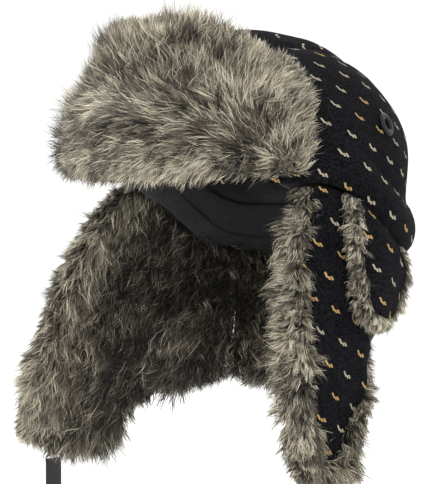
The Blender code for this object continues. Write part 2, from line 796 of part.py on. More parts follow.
def buckle_socket(pivot):
    """Female half: a hollow housing, open below, with a window on each side."""
    strap_end = pivot - Vector((0, 0, STRAP_LENGTH["left"]))
    top = strap_end.z - GAP
    size = Vector((BUCKLE_THICK, BUCKLE_WIDTH, SOCKET_LENGTH))
    centre = Vector((strap_end.x, strap_end.y, top - SOCKET_LENGTH / 2))
    ob = finish("buckle_socket", box(size, centre), "plastic", pivot)
    edge = ob.modifiers.new("edges", "BEVEL")
    edge.width = 0.0012
    edge.segments = 2
    edge.limit_method = "ANGLE"
    head = BAR + SLOT + 0.0014
    room = Vector((size.x - 2 * BUCKLE_WALL, size.y - 2 * BUCKLE_WALL, SOCKET_LENGTH))
    cavity = box(room, (0, 0, -head))
    cut(ob, cutter("socket_cavity", cavity, centre))
    window = box((0.0040, BUCKLE_WIDTH * 2, 0.0090), (0, 0, -0.0035))
    cut(ob, cutter("socket_windows", window, centre))
    slot = box((BUCKLE_THICK * 2, STRAP_WIDTH + 0.001, SLOT), (0, 0, size.z / 2 - BAR - SLOT / 2))
    cut(ob, cutter("socket_slot", slot, centre))


def buckle_plug(pivot):
    """Male half: a slotted base with a guide and two sprung prongs."""
    top = -STRAP_LENGTH["right"] - GAP
    half = BUCKLE_WIDTH / 2
    tip = PRONG_LENGTH
    base = PLUG_BASE_LENGTH
    outline = [
        (-half, 0),
        (half, 0),
        (half, -base),
        (half - 0.0026, -base),
        (half - 0.0030, -base - tip * 0.55),
        (half - 0.0012, -base - tip * 0.60),
        (half - 0.0036, -base - tip),
        (half - 0.0052, -base - tip),
        (half - 0.0058, -base - 0.001),
        (0.0022, -base - 0.001),
        (0.0018, -base - tip * 0.85),
    ]
    outline += [(-y, z) for y, z in reversed(outline[3:])] + [(-half, -base)]
    slots = [-BAR - SLOT / 2, -2 * BAR - 1.5 * SLOT]
    curve = bpy.data.curves.new("buckle_plug", "CURVE")
    curve.dimensions = "2D"
    curve.fill_mode = "BOTH"
    curve.extrude = PLUG_THICK / 2
    loops = [outline]
    slot_half = STRAP_WIDTH / 2 + 0.0005
    for z in slots:
        low, high = z - SLOT / 2, z + SLOT / 2
        loops.append([(-slot_half, low), (slot_half, low), (slot_half, high), (-slot_half, high)])
    for loop in loops:
        spline = curve.splines.new("POLY")
        spline.points.add(len(loop) - 1)
        for point, (y, z) in zip(spline.points, loop):
            point.co = (y, top + z, 0, 1)
        spline.use_cyclic_u = True
    ob = bpy.data.objects.new("buckle_plug", curve)
    ob.rotation_euler = (math.radians(90), 0, math.radians(90))
    ob.location = pivot
    curve.materials.append(material("plastic"))
    collection("trapper_hat").objects.link(ob)


def straps():
    """Both chin straps with the two halves of their buckle."""
    for side in SIDES:
        top = flap_tip(side)
        chin_strap(side, top)
        if side == "left":
            buckle_socket(top)
        else:
            buckle_plug(top)


# The hat ------------------------------------------------------------------


def joint_pivots():
    """Origin of each moving group, on the axis of its joint."""
    pivots = {"visor": Vector((0, -CROWN_HALF_DEPTH - VISOR_HINGE_OUTSIDE, 0))}
    out = CROWN_HALF_WIDTH + HINGE_OUTSIDE
    for side, sign in SIDES.items():
        pivots["ear_flap_" + side] = Vector((sign * out, 0, 0))
        pivots["side_flap_" + side] = side_hinge(side)[0]
    behind = CROWN_HALF_DEPTH + HINGE_OUTSIDE
    pivots["nape"] = Vector((0, behind, -NAPE_DROP))
    return pivots


def side_hinge(side):
    """A point and the direction of a side flap's hinge, along the crown's edge."""
    sign = SIDES[side]
    outside = SIDE_HINGE_OUTSIDE[side]
    front = Vector((CROWN_HALF_WIDTH + outside, SIDE_FLAP_FRONT_Y, 0))
    front.z = hem_height(front.y)
    back = Vector((0, SIDE_FLAP_REAR_Y, hem_height(SIDE_FLAP_REAR_Y)))
    back.x = curtain_x("left", back.y, 0.0) + outside
    middle = (front + back) / 2
    along = (back - front).normalized()
    return Vector((sign * middle.x, middle.y, middle.z)), Vector((sign * along.x, along.y, along.z))


def main():
    """Build the whole hat."""
    clear_scene()
    pivots = joint_pivots()
    crown_top_panel()
    crown_side_panels()
    crown_layer("crown_wadding", "wadding", WADDING_OUT, WADDING_IN)
    crown_layer("crown_lining", "lining", LINING_OUT, LINING_IN)
    sweatband()
    eyelets(["crown_wadding", "crown_lining"])
    visor(pivots["visor"])
    closing_tapes(pivots["visor"])
    ear_flaps(pivots)
    nape_curtain(pivots["nape"])
    side_flaps(pivots)
    straps()


main()
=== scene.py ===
"""Looks of a trapper hat: knit panels, long fur, quilted lining, webbing and a studio stage.

The hat faces -Y, the wearer's left is +X, +Z is up, in metres. Every new piece is a surface
worked out with numpy over a grid of two parameters, or a strand of fur repeated over one.
"""

import math

import bmesh
import bpy
import numpy as np
from bpy.props import FloatProperty, FloatVectorProperty
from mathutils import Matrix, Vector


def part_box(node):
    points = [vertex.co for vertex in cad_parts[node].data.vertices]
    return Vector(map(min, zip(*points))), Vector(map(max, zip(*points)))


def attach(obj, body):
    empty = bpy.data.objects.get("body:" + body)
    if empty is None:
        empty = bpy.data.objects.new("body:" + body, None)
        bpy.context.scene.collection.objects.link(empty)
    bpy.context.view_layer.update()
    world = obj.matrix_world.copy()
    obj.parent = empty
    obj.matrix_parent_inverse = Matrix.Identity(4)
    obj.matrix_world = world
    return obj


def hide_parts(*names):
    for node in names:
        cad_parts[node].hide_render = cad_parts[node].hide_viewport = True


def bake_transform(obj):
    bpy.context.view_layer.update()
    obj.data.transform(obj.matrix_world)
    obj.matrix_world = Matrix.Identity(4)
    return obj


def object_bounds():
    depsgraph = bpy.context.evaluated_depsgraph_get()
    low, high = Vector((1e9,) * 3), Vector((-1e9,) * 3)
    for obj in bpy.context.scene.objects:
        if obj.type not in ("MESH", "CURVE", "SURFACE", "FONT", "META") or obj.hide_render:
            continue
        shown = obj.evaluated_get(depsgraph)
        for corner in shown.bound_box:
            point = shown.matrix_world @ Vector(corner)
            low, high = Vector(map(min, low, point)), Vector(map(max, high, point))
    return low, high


bl_info = {
    "name": "Trapper Hat Looks",
    "version": (1, 0, 0),
    "blender": (4, 5, 0),
    "location": "View3D > Sidebar > Trapper Hat",
    "description": "Dresses a packed trapper hat with knit, fur, lining, straps and a stage",
    "category": "Object",
}

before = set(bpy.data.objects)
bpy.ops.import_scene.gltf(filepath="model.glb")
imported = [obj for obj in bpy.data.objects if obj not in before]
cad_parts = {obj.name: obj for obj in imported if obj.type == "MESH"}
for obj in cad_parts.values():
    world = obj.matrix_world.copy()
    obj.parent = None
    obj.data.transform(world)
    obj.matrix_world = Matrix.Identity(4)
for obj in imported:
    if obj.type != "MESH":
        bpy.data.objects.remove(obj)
CAD_BOX = [[float(c) for c in corner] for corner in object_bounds()]

# The hat's own sizes, in metres and radians; leans, tapers and shares have no unit.
CROWN_HALF_WIDTH = 0.095
CROWN_HALF_DEPTH = 0.115
DOME_RISE = 0.090
WALL_RISE = 0.010
NAPE_DROP = 0.050
DROP_START_Y = -0.035
DROP_END_Y = 0.070
TOP_PANEL_HALF_WIDTH = 0.038
SWEATBAND_HEIGHT = 0.030
VISOR_ARC = math.radians(71)
VISOR_UNWRAP_FROM = math.radians(20)
VISOR_UNWRAP_TURN = 0.30
VISOR_HEIGHT = 0.112
VISOR_END_HEIGHT = {"left": 0.088, "right": 0.066}
VISOR_CORNER = {"left": 0.030, "right": 0.034}
VISOR_SLOPE_FROM = {"left": math.radians(25), "right": math.radians(6)}
VISOR_SLOPE_TO = {"left": math.radians(66), "right": math.radians(52)}
VISOR_LEAN = 0.14
VISOR_CLEARANCE = 0.0050
SEAM = math.radians(125)
FLAP_FRONT_TOP_Y = -0.050
FLAP_FRONT_MID_Y = -0.070
FLAP_TIP_FRONT_Y = -0.064
FLAP_TIP_REAR_Y = -0.006
FLAP_TIP_Z = -0.190
FLAP_TIP_BULGE = 0.017
FLAP_CLOTH_SHARE = 0.90
CURTAIN_CORNER_Z = -0.145
NAPE_BOTTOM_BULGE = 0.010
NECK_DEPTH = 0.092
NECK_DRAW_IN = 0.046
NECK_SIDE_DRAW_IN = 0.020
CHEEK_FLATTEN = 0.050
FUR_MARGIN = 0.017
FUR_TIP_MARGIN = 0.011
FLARE = {"left": math.radians(3), "right": math.radians(26)}
FLARE_START = {"left": 0.0, "right": 0.014}
FLARE_BLEND = 0.115
HEM_GAP = 0.0020
SEAM_GAP = 0.0008
SIDE_FLAP_FRONT_Y = -0.022
SIDE_FLAP_REAR_Y = 0.054
SIDE_FLAP_TAPER = 0.80
SIDE_FLAP_BOTTOM_Z = -0.101
SIDE_FLAP_MARGIN = 0.011
SIDE_FLAP_STAND_OFF = 0.0048
SIDES = {"left": 1, "right": -1}
UP = np.array([0.0, 0.0, 1.0])


# Arrays ---------------------------------------------------------------------


def ease(x):
    """Smooth step from 0 to 1 as x goes from 0 to 1."""
    x = np.clip(x, 0.0, 1.0)
    return x * x * (3 - 2 * x)


def mix(a, b, t):
    """The value a share t of the way from a to b."""
    return a + (b - a) * t


def unit(v):
    """Vectors of length 1 along the last axis."""
    return v / np.maximum(np.linalg.norm(v, axis=-1, keepdims=True), 1e-9)


def vec(x, y, z):
    """Points from three arrays of one shape."""
    return np.stack(np.broadcast_arrays(x, y, z), axis=-1).astype(float)


def grid(us, vs):
    """Two arrays that hold u and v at each place of a grid."""
    return np.meshgrid(np.asarray(us, float), np.asarray(vs, float), indexing="ij")


def ripple(points, seed, size):
    """Smooth noise near -1 to 1: the mean of eight sine waves in seeded directions."""
    rng = np.random.default_rng(seed)
    waves = unit(rng.normal(size=(8, 3))) * (2 * math.pi / size) * rng.uniform(0.6, 1.5, (8, 1))
    phase = rng.uniform(0, 2 * math.pi, 8)
    return np.sin(points @ waves.T + phase).sum(axis=-1) / 3.2


def steps(start, stop, count):
    """Evenly spaced numbers from start to stop, in a count of steps."""
    return np.linspace(start, stop, count + 1)


def headings(count):
    """Evenly spaced angles once round, without the last, which would repeat the first."""
    return steps(0, 2 * math.pi, count)[:-1]


def rounded(edge, radius):
    """A quarter circle: 0 at an edge, level at 1 from a radius inward."""
    return np.sqrt(1 - (1 - np.clip(edge / radius, 0, 1)) ** 2)


def bell(x, middle, width):
    """A bell curve: 1 at its middle, falling off over a width."""
    return np.exp(-(((x - middle) / width) ** 2))


def raised(points, out, height):
    """Points moved a height along their unit normals."""
    return points + out * np.asarray(height)[..., None]


def face_out(points, sign=1):
    """Unit normals of a grid of points: the cross product of its two directions."""
    across = np.gradient(points, axis=0)
    down = np.gradient(points, axis=1)
    return unit(np.cross(across, down)) * sign


# The hat's surfaces -----------------------------------------------------------


def mirror(side):
    """Factors that turn a point of the wearer's left into one of a side."""
    return np.array([SIDES[side], 1, 1])


def hem_height(y):
    """Height of the crown's lower edge: a smooth drop behind the ears."""
    return -NAPE_DROP * ease((y - DROP_START_Y) / (DROP_END_Y - DROP_START_Y))


def hem_at(phi):
    """Height of the crown's lower edge at heading phi."""
    return hem_height(-CROWN_HALF_DEPTH * np.cos(phi))


def crown_point(phi, rise, height):
    """Half ellipsoid over a short wall: rise above 0 climbs it, 0 to -1 goes down the wall."""
    a, b, h = CROWN_HALF_WIDTH, CROWN_HALF_DEPTH, DOME_RISE
    climb = np.maximum(rise, 0.0)
    x = a * np.cos(climb) * np.sin(phi)
    y = -b * np.cos(climb) * np.cos(phi)
    lift = np.sin(climb)
    z = np.where(rise < 0, mix(WALL_RISE, hem_height(y), -rise), WALL_RISE + h * lift)
    out = unit(vec(x / a**2, y / b**2, lift / h))
    return raised(vec(x, y, z), out, height)


def crown_at(phi, z, height):
    """Point of the crown at heading phi and height z of its cloth."""
    climb = np.arcsin(np.clip((z - WALL_RISE) / DOME_RISE, 0.0, 1.0))
    drop = (z - WALL_RISE) / (WALL_RISE - hem_at(phi))
    return crown_point(phi, np.where(z >= WALL_RISE, climb, drop), height)


def visor_point(phi, z, height):
    """Ellipse round the crown that leans back with height; its right end runs off straighter."""
    back = VISOR_CLEARANCE - VISOR_LEAN * np.maximum(z - WALL_RISE, 0.0)
    a, b = CROWN_HALF_WIDTH + back, CROWN_HALF_DEPTH + back
    bend = np.maximum(phi, -VISOR_UNWRAP_FROM)
    spot = vec(a * np.sin(bend), -b * np.cos(bend), z)
    run = vec(a * np.cos(bend), b * np.sin(bend), 0 * bend)
    out = unit(vec(np.sin(bend) / a, -np.cos(bend) / b, 0 * bend))
    turn = (VISOR_UNWRAP_TURN * (phi - bend))[..., None]
    radius = np.linalg.norm(run, axis=-1, keepdims=True) / VISOR_UNWRAP_TURN
    run = unit(run)
    spot = spot + run * radius * np.sin(turn) - out * radius * (1 - np.cos(turn))
    out = unit(out * np.cos(turn) + run * np.sin(turn) + UP * VISOR_LEAN)
    return raised(spot, out, height)


def visor_top(phi):
    """Height of the visor's upper edge, lower and rounded at the ends."""
    top = 0
    for side, sign in SIDES.items():
        start, stop = VISOR_SLOPE_FROM[side], VISOR_SLOPE_TO[side]
        edge = mix(VISOR_HEIGHT, VISOR_END_HEIGHT[side], ease((np.abs(phi) - start) / (stop - start)))
        edge = edge - VISOR_CORNER[side] * np.maximum(0, (np.abs(phi) / VISOR_ARC - 0.8) / 0.2) ** 2
        top = np.where(sign * phi >= 0, edge, top)
    return top


def neck_axes(depth):
    """Half width and half depth of the curtain behind the ears, a depth below the hem."""
    drawn = ease(depth / NECK_DEPTH)
    return CROWN_HALF_WIDTH - NECK_SIDE_DRAW_IN * drawn, CROWN_HALF_DEPTH - NECK_DRAW_IN * drawn


def seam_y(z):
    """Where the seam between an ear flap and the nape curtain lies at a height."""
    y = -CROWN_HALF_DEPTH * math.cos(SEAM) + 0 * z
    for _ in range(3):
        y = -neck_axes(np.maximum(hem_height(y) - z, 0.0))[1] * math.cos(SEAM)
    return y


def curtain_x(side, y, z):
    """Ellipse of the ear flap at a height, which flares out with its depth below the hem."""
    depth = np.maximum(hem_height(y) - z, 0.0)
    a_neck, b_neck = neck_axes(depth)
    behind = y > 0
    a = np.where(behind, mix(CROWN_HALF_WIDTH, a_neck, ease(y / seam_y(z))), CROWN_HALF_WIDTH)
    b = np.where(behind, b_neck, CROWN_HALF_DEPTH + CHEEK_FLATTEN * ease(depth / 0.09))
    x = a * np.sqrt(np.maximum(1 - (y / b) ** 2, 0.0))
    flare = FLARE_START[side] * (1 - np.exp(-depth / 0.015)) + math.tan(FLARE[side]) * depth
    return x + flare * ease((seam_y(z) - y) / FLARE_BLEND)


def curtain_point(side, y, z, height):
    """Point of an ear flap at y and z, height outside its cloth along the surface normal."""
    step = 0.0005
    x = curtain_x(side, y, z)
    slope_y = (curtain_x(side, y + step, z) - curtain_x(side, y - step, z)) / (2 * step)
    slope_z = (curtain_x(side, y, z + step) - curtain_x(side, y, z - step)) / (2 * step)
    out = unit(vec(1 + 0 * y, -slope_y, -np.clip(slope_z, -0.6, 0.6)))
    return raised(vec(x, y, z), out, height) * mirror(side)


def flap_edge(v):
    """Front and rear edge (y, z) of the ear flap: a parabola, and a line that turns into a cubic."""
    v = v[..., None]
    front_top = np.array([FLAP_FRONT_TOP_Y, hem_height(FLAP_FRONT_TOP_Y) - HEM_GAP])
    front_mid = np.array([FLAP_FRONT_MID_Y, FLAP_TIP_Z * 0.45])
    front_tip = np.array([FLAP_TIP_FRONT_Y, FLAP_TIP_Z])
    bow = front_mid * 2 - (front_top + front_tip) / 2
    front = front_top * (1 - v) ** 2 + bow * 2 * v * (1 - v) + front_tip * v**2
    straight = 0.50
    top_z = float(hem_height(seam_y(np.array(-NAPE_DROP)))) - HEM_GAP
    z = mix(top_z, CURTAIN_CORNER_Z, np.minimum(v[..., 0], straight) / straight)
    line = np.stack([seam_y(z) - SEAM_GAP, z], axis=-1)
    t = np.maximum(v - straight, 0) / (1 - straight)
    corner = np.array([float(seam_y(np.array(CURTAIN_CORNER_Z))) - SEAM_GAP, CURTAIN_CORNER_Z])
    pull_a = corner + np.array([-0.020, -0.006])
    pull_b = np.array([FLAP_TIP_REAR_Y + 0.006, CURTAIN_CORNER_Z - 0.006])
    tip = np.array([FLAP_TIP_REAR_Y, FLAP_TIP_Z])
    curve = corner * (1 - t) ** 3 + pull_a * 3 * t * (1 - t) ** 2
    curve = curve + pull_b * 3 * t**2 * (1 - t) + tip * t**3
    return front, np.where(v <= straight, line, curve)


def flap_spot(u, v):
    """Flat place (y, z) of the ear flap at share u from front to rear and v down."""
    front, rear = flap_edge(v)
    y, z = np.moveaxis(mix(front, rear, u[..., None]), -1, 0)
    top = hem_height(y)
    high = float(hem_height(seam_y(np.array(-NAPE_DROP))))
    z = z + (top - mix(float(hem_height(FLAP_FRONT_TOP_Y)), high, u)) * (1 - v) ** 3
    return y, z - FLAP_TIP_BULGE * 4 * u * (1 - u) * v**3


def flap_width(v):
    """Width of the ear flap at share v of the way down."""
    front, rear = flap_edge(v)
    return np.linalg.norm(rear - front, axis=-1)


def seam_share(v):
    """1 where the ear flap's rear edge is free, falling to a little at the curtain's seam."""
    return mix(0.12, 1.0, ease((v - 0.30) / 0.20))


def nape_point(phi, z, height):
    """Ellipse behind the neck that draws in with its depth below the hem."""
    hem = hem_at(phi)
    a, b = neck_axes(np.maximum(hem - z, 0))
    out = unit(vec(np.sin(phi) / a, -np.cos(phi) / b, 0 * z))
    return raised(vec(a * np.sin(phi), -b * np.cos(phi), z), out, height)


def side_flap_spot(u, v):
    """Flat place (y, z) of the side flap, a U that hangs from the crown's edge."""
    y = mix(SIDE_FLAP_FRONT_Y, SIDE_FLAP_REAR_Y, u)
    middle = (SIDE_FLAP_FRONT_Y + SIDE_FLAP_REAR_Y) / 2
    y = mix(y, mix(middle, y, SIDE_FLAP_TAPER), ease((v - 0.45) / 0.55))
    bottom = SIDE_FLAP_BOTTOM_Z + 0.012 * (2 * u - 1) ** 2
    return y, mix(hem_height(y) - HEM_GAP, bottom, v)


def side_flap_point(side, u, v, height):
    """Point of a side flap, which stands off the ear flap below the crown's edge."""
    y, z = side_flap_spot(u, v)
    lift = ease((hem_height(y) - z) / 0.020)
    stand = mix(0.0012, SIDE_FLAP_STAND_OFF, lift)
    return curtain_point(side, y, z, stand + height * mix(0.45, 1.0, lift))


# Meshes -----------------------------------------------------------------------


def collection(name):
    """A collection of the scene, made the first time it is asked for."""
    found = bpy.data.collections.get(name)
    if found is None:
        found = bpy.data.collections.new(name)
        bpy.context.scene.collection.children.link(found)
    return found


def add_object(name, mesh, finish, body=None):
    """Link a mesh with the finish of that name, and let it ride on a body."""
    ob = bpy.data.objects.new(name, mesh)
    collection("hat looks").objects.link(ob)
    mesh.materials.append(material(finish))
    if body is not None:
        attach(ob, body)
    return ob


def grid_faces(rows, columns, wrap, start=0):
    """Corner numbers of the quads of a grid of points; wrap joins its last row to its first."""
    first = np.arange(rows if wrap else rows - 1)
    i, j = np.meshgrid(first, np.arange(columns - 1), indexing="ij")
    k = (i + 1) % rows
    quads = np.stack([i * columns + j, k * columns + j, k * columns + j + 1, i * columns + j + 1], -1)
    return quads.reshape(-1, 4) + start


def face_outward(mesh, merge=False, closed=True):
    """Smooth a mesh whose faces all look outward; merge joins the points that meet."""
    bm = bmesh.new()
    bm.from_mesh(mesh)
    if merge:
        bmesh.ops.remove_doubles(bm, verts=bm.verts[:], dist=1e-6)
    bmesh.ops.recalc_face_normals(bm, faces=bm.faces[:])
    if closed and bm.calc_volume(signed=True) < 0:
        bmesh.ops.reverse_faces(bm, faces=bm.faces[:])
    bm.to_mesh(mesh)
    bm.free()
    mesh.shade_smooth()


def lay_cloth_map(mesh, uv):
    """Give a mesh its UV map, from two numbers for each of its points."""
    corners = np.empty(len(mesh.loops), np.int32)
    mesh.loops.foreach_get("vertex_index", corners)
    layer = mesh.uv_layers.new(name="cloth")
    layer.data.foreach_set("uv", uv[corners].astype(np.float32).ravel())


def slab(name, outer, inner, finish, body=None, wrap=False, uv=None, open_ends=()):
    """Close two grids of points, one outside the other, into one solid sheet.

    Along each edge a wall of quads joins them, but not along open_ends. uv holds metres
    along the cloth.
    """
    rows, columns = outer.shape[:2]
    count = rows * columns
    points = np.concatenate([outer.reshape(-1, 3), inner.reshape(-1, 3)])
    faces = [grid_faces(rows, columns, wrap), grid_faces(rows, columns, wrap, count)[:, ::-1]]
    index = np.arange(count).reshape(rows, columns)
    edges = {"low": index[:, 0], "high": index[::-1, -1]}
    if not wrap:
        edges["first"] = index[0, ::-1]
        edges["last"] = index[-1, :]
    for key, line in edges.items():
        if key in open_ends:
            continue
        line = np.append(line, line[0]) if wrap else line
        a, b = line[:-1], line[1:]
        faces.append(np.stack([b, a, a + count, b + count], -1))
    mesh = bpy.data.meshes.new(name)
    mesh.from_pydata(points, [], np.concatenate(faces).tolist())
    if uv is not None:
        lay_cloth_map(mesh, np.concatenate([uv.reshape(-1, 2), uv.reshape(-1, 2)]))
    face_outward(mesh, merge=True)
    mesh.set_sharp_from_angle(angle=math.radians(60))
    return add_object(name, mesh, finish, body)


def metres(points):
    """Two arrays of metres along a grid: running lengths, counted from its middle."""
    steps_u = np.linalg.norm(np.diff(points, axis=0), axis=-1)
    steps_v = np.linalg.norm(np.diff(points, axis=1), axis=-1)
    u = np.concatenate([np.zeros_like(steps_u[:1]), np.cumsum(steps_u, axis=0)])
    v = np.concatenate([np.zeros_like(steps_v[:, :1]), np.cumsum(steps_v, axis=1)], axis=1)
    u = u - u[u.shape[0] // 2]
    return np.stack([u, v - v[:, :1]], axis=-1)


# Shaders ----------------------------------------------------------------------


def math_node(operation, swapped=False):
    """A method that adds a math node; swapped puts the value itself last."""

    def method(self, *others):
        values = (*others, self) if swapped else (self, *others)
        return self.maker.node("ShaderNodeMath", {"operation": operation}, *values)

    return method


class Value:
    """A socket of a material, with the arithmetic of its numbers."""

    def __init__(self, maker, socket):
        self.maker = maker
        self.socket = socket

    __add__ = __radd__ = math_node("ADD")
    __sub__ = math_node("SUBTRACT")
    __rsub__ = math_node("SUBTRACT", swapped=True)
    __mul__ = __rmul__ = math_node("MULTIPLY")
    __truediv__ = math_node("DIVIDE")
    __pow__ = math_node("POWER")
    __lt__ = math_node("LESS_THAN")
    __gt__ = math_node("GREATER_THAN")
    sin = math_node("SINE")
    size = math_node("ABSOLUTE")
    fraction = math_node("FRACT")
    nearest = math_node("ROUND")
    floor = math_node("FLOOR")
    lowest = math_node("MINIMUM")
    highest = math_node("MAXIMUM")


class Finish:
    """One material: a Principled shader, and the nodes that feed it."""

    def __init__(self, name, roughness, **plain):
        self.material = bpy.data.materials.new(name)
        self.material.use_nodes = True
        self.tree = self.material.node_tree
        self.shader = self.tree.nodes["Principled BSDF"]
        self.shader.inputs["Roughness"].default_value = roughness
        for key, value in plain.items():
            self.shader.inputs[key.replace("_", " ")].default_value = value

    def node(self, kind, settings, *values, output=0, **named):
        """Add a node: its settings first, then its sockets in order or by name."""
        made = self.tree.nodes.new(kind)
        for key, value in settings.items():
            if key == "stops":
                self._stops(made.color_ramp, value)
            else:
                setattr(made, key, value)
        for key, value in list(enumerate(values)) + list(named.items()):
            socket = made.inputs[key.replace("_", " ") if isinstance(key, str) else key]
            if isinstance(value, Value):
                self.tree.links.new(value.socket, socket)
            elif value is not None:
                socket.default_value = value
        return Value(self, made.outputs[output])

    def _stops(self, ramp, stops):
        while len(ramp.elements) < len(stops):
            ramp.elements.new(0.5)
        for element, (place, colour) in zip(ramp.elements, stops):
            element.position = place
            element.color = (*colour, 1.0)

    def place(self):
        """Object coordinates, in metres."""
        return self.node("ShaderNodeTexCoord", {}, output="Object")

    def cloth(self, name="cloth"):
        """The two numbers of the piece's own UV map."""
        spot = self.node("ShaderNodeUVMap", {"uv_map": name})
        return self.split(spot)[:2]

    def split(self, vector):
        """The three numbers of a vector."""
        made = self.node("ShaderNodeSeparateXYZ", {}, vector)
        outputs = made.socket.node.outputs
        return [Value(self, outputs[i]) for i in range(3)]

    def join(self, x, y, z=0.0):
        """A vector of three numbers."""
        return self.node("ShaderNodeCombineXYZ", {}, x, y, z)

    def noise(self, place, scale, detail=2.0):
        """Cloudy noise from 0 to 1, with about scale clouds to the metre."""
        return self.node("ShaderNodeTexNoise", {}, Vector=place, Scale=scale, Detail=detail)

    def blend(self, share, a, b, how="MIX"):
        """Mix two colours."""
        made = self.tree.nodes.new("ShaderNodeMix")
        made.data_type = "RGBA"
        made.blend_type = how
        for socket, value in zip((made.inputs[0], made.inputs[6], made.inputs[7]), (share, a, b)):
            if isinstance(value, Value):
                self.tree.links.new(value.socket, socket)
            elif isinstance(value, (int, float)):
                socket.default_value = value
            else:
                socket.default_value = (*value, 1.0)
        return Value(self, made.outputs[2])

    def feed(self, **sockets):
        """Link or set sockets of the shader."""
        for key, value in sockets.items():
            socket = self.shader.inputs[key.replace("_", " ")]
            if isinstance(value, Value):
                self.tree.links.new(value.socket, socket)
            else:
                socket.default_value = value

    def bump(self, height, distance, strength=1.0):
        """Feed a height in metres times distance to the shader's normal."""
        relief = self.node("ShaderNodeBump", {}, Height=height, Distance=distance, Strength=strength)
        self.feed(Normal=relief)


def material(name):
    """The material of a finish, made the first time it is asked for."""
    found = bpy.data.materials.get(name)
    return found if found is not None else FINISHES[name](name).material


# Finishes -----------------------------------------------------------------------

FLECK_STEP = (0.0190, -0.0090)
FLECK_ROW = (0.0060, -0.0220)
FLECK_STROKES = ((-0.0022, 0.0014, 1.9), (0.0002, -0.0008, 1.1), (0.0023, -0.0010, 1.3))
FLECK_HALF_WIDTH = 0.00075
TINTS = 64
STIFFENER_PITCH = 0.0012
HOOK_PITCH = 0.0015
RIB_PITCH = 0.0011
HERRINGBONE_PITCH = 0.0030
SELVEDGE_FROM = 0.0066
CROWN_GOLD = 0.25
FLAP_GOLD = 0.75


def knit_finish(name, gold):
    """Black knit: rows of V stitches in relief, and short woven-in flecks on a slanted lattice."""
    look = bpy.context.scene.hat_knit
    f = Finish(name, 0.95, Specular_IOR_Level=0.05)
    x, y = f.cloth()
    column = ((x / look.stitch).fraction() - 0.5).size()
    row = ((y / (look.stitch * 0.8) + column * 1.2).fraction() - 0.5).size() * 2
    leg = 1 - ((column - 0.25).size() * 4) ** 2
    relief = leg * (1 - row * row * 0.7)
    (ax, ay), (bx, by) = FLECK_STEP, FLECK_ROW
    area = ax * by - ay * bx
    i = x * (by / area) - y * (bx / area)
    j = y * (ax / area) - x * (ay / area)
    across, down = i - i.nearest(), j - j.nearest()
    fx = across * ax + down * bx
    fy = across * ay + down * by
    fleck = None
    for sx, sy, length in FLECK_STROKES:
        beside = (fx - sx + (fy - sy) * 0.55).size() < FLECK_HALF_WIDTH
        part = beside * ((fy - sy).size() < length * 0.001)
        fleck = part if fleck is None else fleck.highest(part)
    cell = f.join(i.nearest(), j.nearest())
    chance = f.node("ShaderNodeTexWhiteNoise", {"noise_dimensions": "3D"}, Vector=cell)
    place = f.place()
    fuzz = f.noise(place, 620.0, 4.0)
    worn = f.noise(place, 35.0, 3.0)
    # Painted shade and painted highlight: the stitch relief darkens the colour between the stitches and
    # lightens it on their tops, while the fuzz noise gives the yarn random tone.
    shade = relief * 0.35 + (fuzz - 0.5) * 2.6 + 0.10
    base = f.blend(shade, look.dark, look.light)
    base = f.blend(worn * 0.35, base, look.dark)
    yarn = f.blend((chance > (1 - gold)) * 1.0, look.cream, look.gold)
    yarn = f.blend(fuzz * 0.5, yarn, (0.25, 0.20, 0.14))
    f.feed(Base_Color=f.blend(fleck * (fuzz * 0.8 + 0.5).lowest(1.0), base, yarn))
    f.feed(Roughness=fleck * -0.25 + 0.92)
    f.bump(relief + fleck * 0.8 + fuzz * 0.9, 0.00045, 1.0)
    return f


def fur_finish(name):
    """Hair: a tint for each strand across the map, dark at the root and paler toward the tip."""
    look = bpy.context.scene.hat_fur
    f = Finish(name, 0.55, Specular_IOR_Level=0.3, Sheen_Weight=0.1)
    u, v = f.cloth("strand")
    tint = (u * TINTS).floor() / TINTS
    tints = ((0.0, look.dark), (0.22, look.brown), (0.44, look.taupe), (0.68, look.khaki), (0.92, look.cream))
    colour = f.node("ShaderNodeValToRGB", {"stops": tints}, tint)
    shades = [(place, (grey,) * 3) for place, grey in ((0.0, 0.05), (0.26, 0.22), (0.58, 0.92), (1.0, 1.30))]
    shade = f.node("ShaderNodeValToRGB", {"stops": shades}, v)
    colour = f.blend(1.0, colour, shade, "MULTIPLY")
    odd = (tint * 391.7).sin() * 437.5
    guard = (odd.fraction() > 0.80) * ((v - 0.62) * 3.5).highest(0.0).lowest(1.0)
    f.feed(Base_Color=f.blend(guard * 0.85, colour, look.dark))
    return f


def underfur_finish(name):
    """Short dense dark pile that the long hair grows from."""
    look = bpy.context.scene.hat_fur
    f = Finish(name, 0.95, Sheen_Weight=0.1)
    place = f.place()
    pile = f.noise(place, 700.0, 3.0)
    patch = f.noise(place, 60.0, 3.0)
    f.feed(Base_Color=f.blend(pile * patch * 1.2, [c * 0.6 for c in look.dark], look.brown))
    f.bump(pile, 0.0012, 1.0)
    return f


def lining_finish(name):
    """Black satin with the fine lines of its weave."""
    f = Finish(name, 0.55, Sheen_Weight=0.1, Specular_IOR_Level=0.3)
    x, y = f.cloth()
    weave = (x * 9000.0).sin() * (y * 9000.0).sin()
    patch = f.noise(f.place(), 40.0, 3.0)
    f.feed(Base_Color=f.blend(patch, (0.012, 0.012, 0.015), (0.030, 0.030, 0.036)))
    f.feed(Roughness=patch * 0.25 + 0.32)
    f.bump(weave, 0.00008, 0.6)
    return f


def fleece_finish(name):
    """Brushed black fleece: soft curls of pile."""
    f = Finish(name, 0.95, Sheen_Weight=0.4, Sheen_Roughness=0.5)
    place = f.place()
    curl = f.node("ShaderNodeTexVoronoi", {}, Vector=place, Scale=420.0)
    fuzz = f.noise(place, 1500.0)
    f.feed(Base_Color=f.blend(fuzz, (0.010, 0.010, 0.012), (0.040, 0.040, 0.045)))
    f.bump(fuzz * 0.5 - curl, 0.0006, 0.8)
    return f


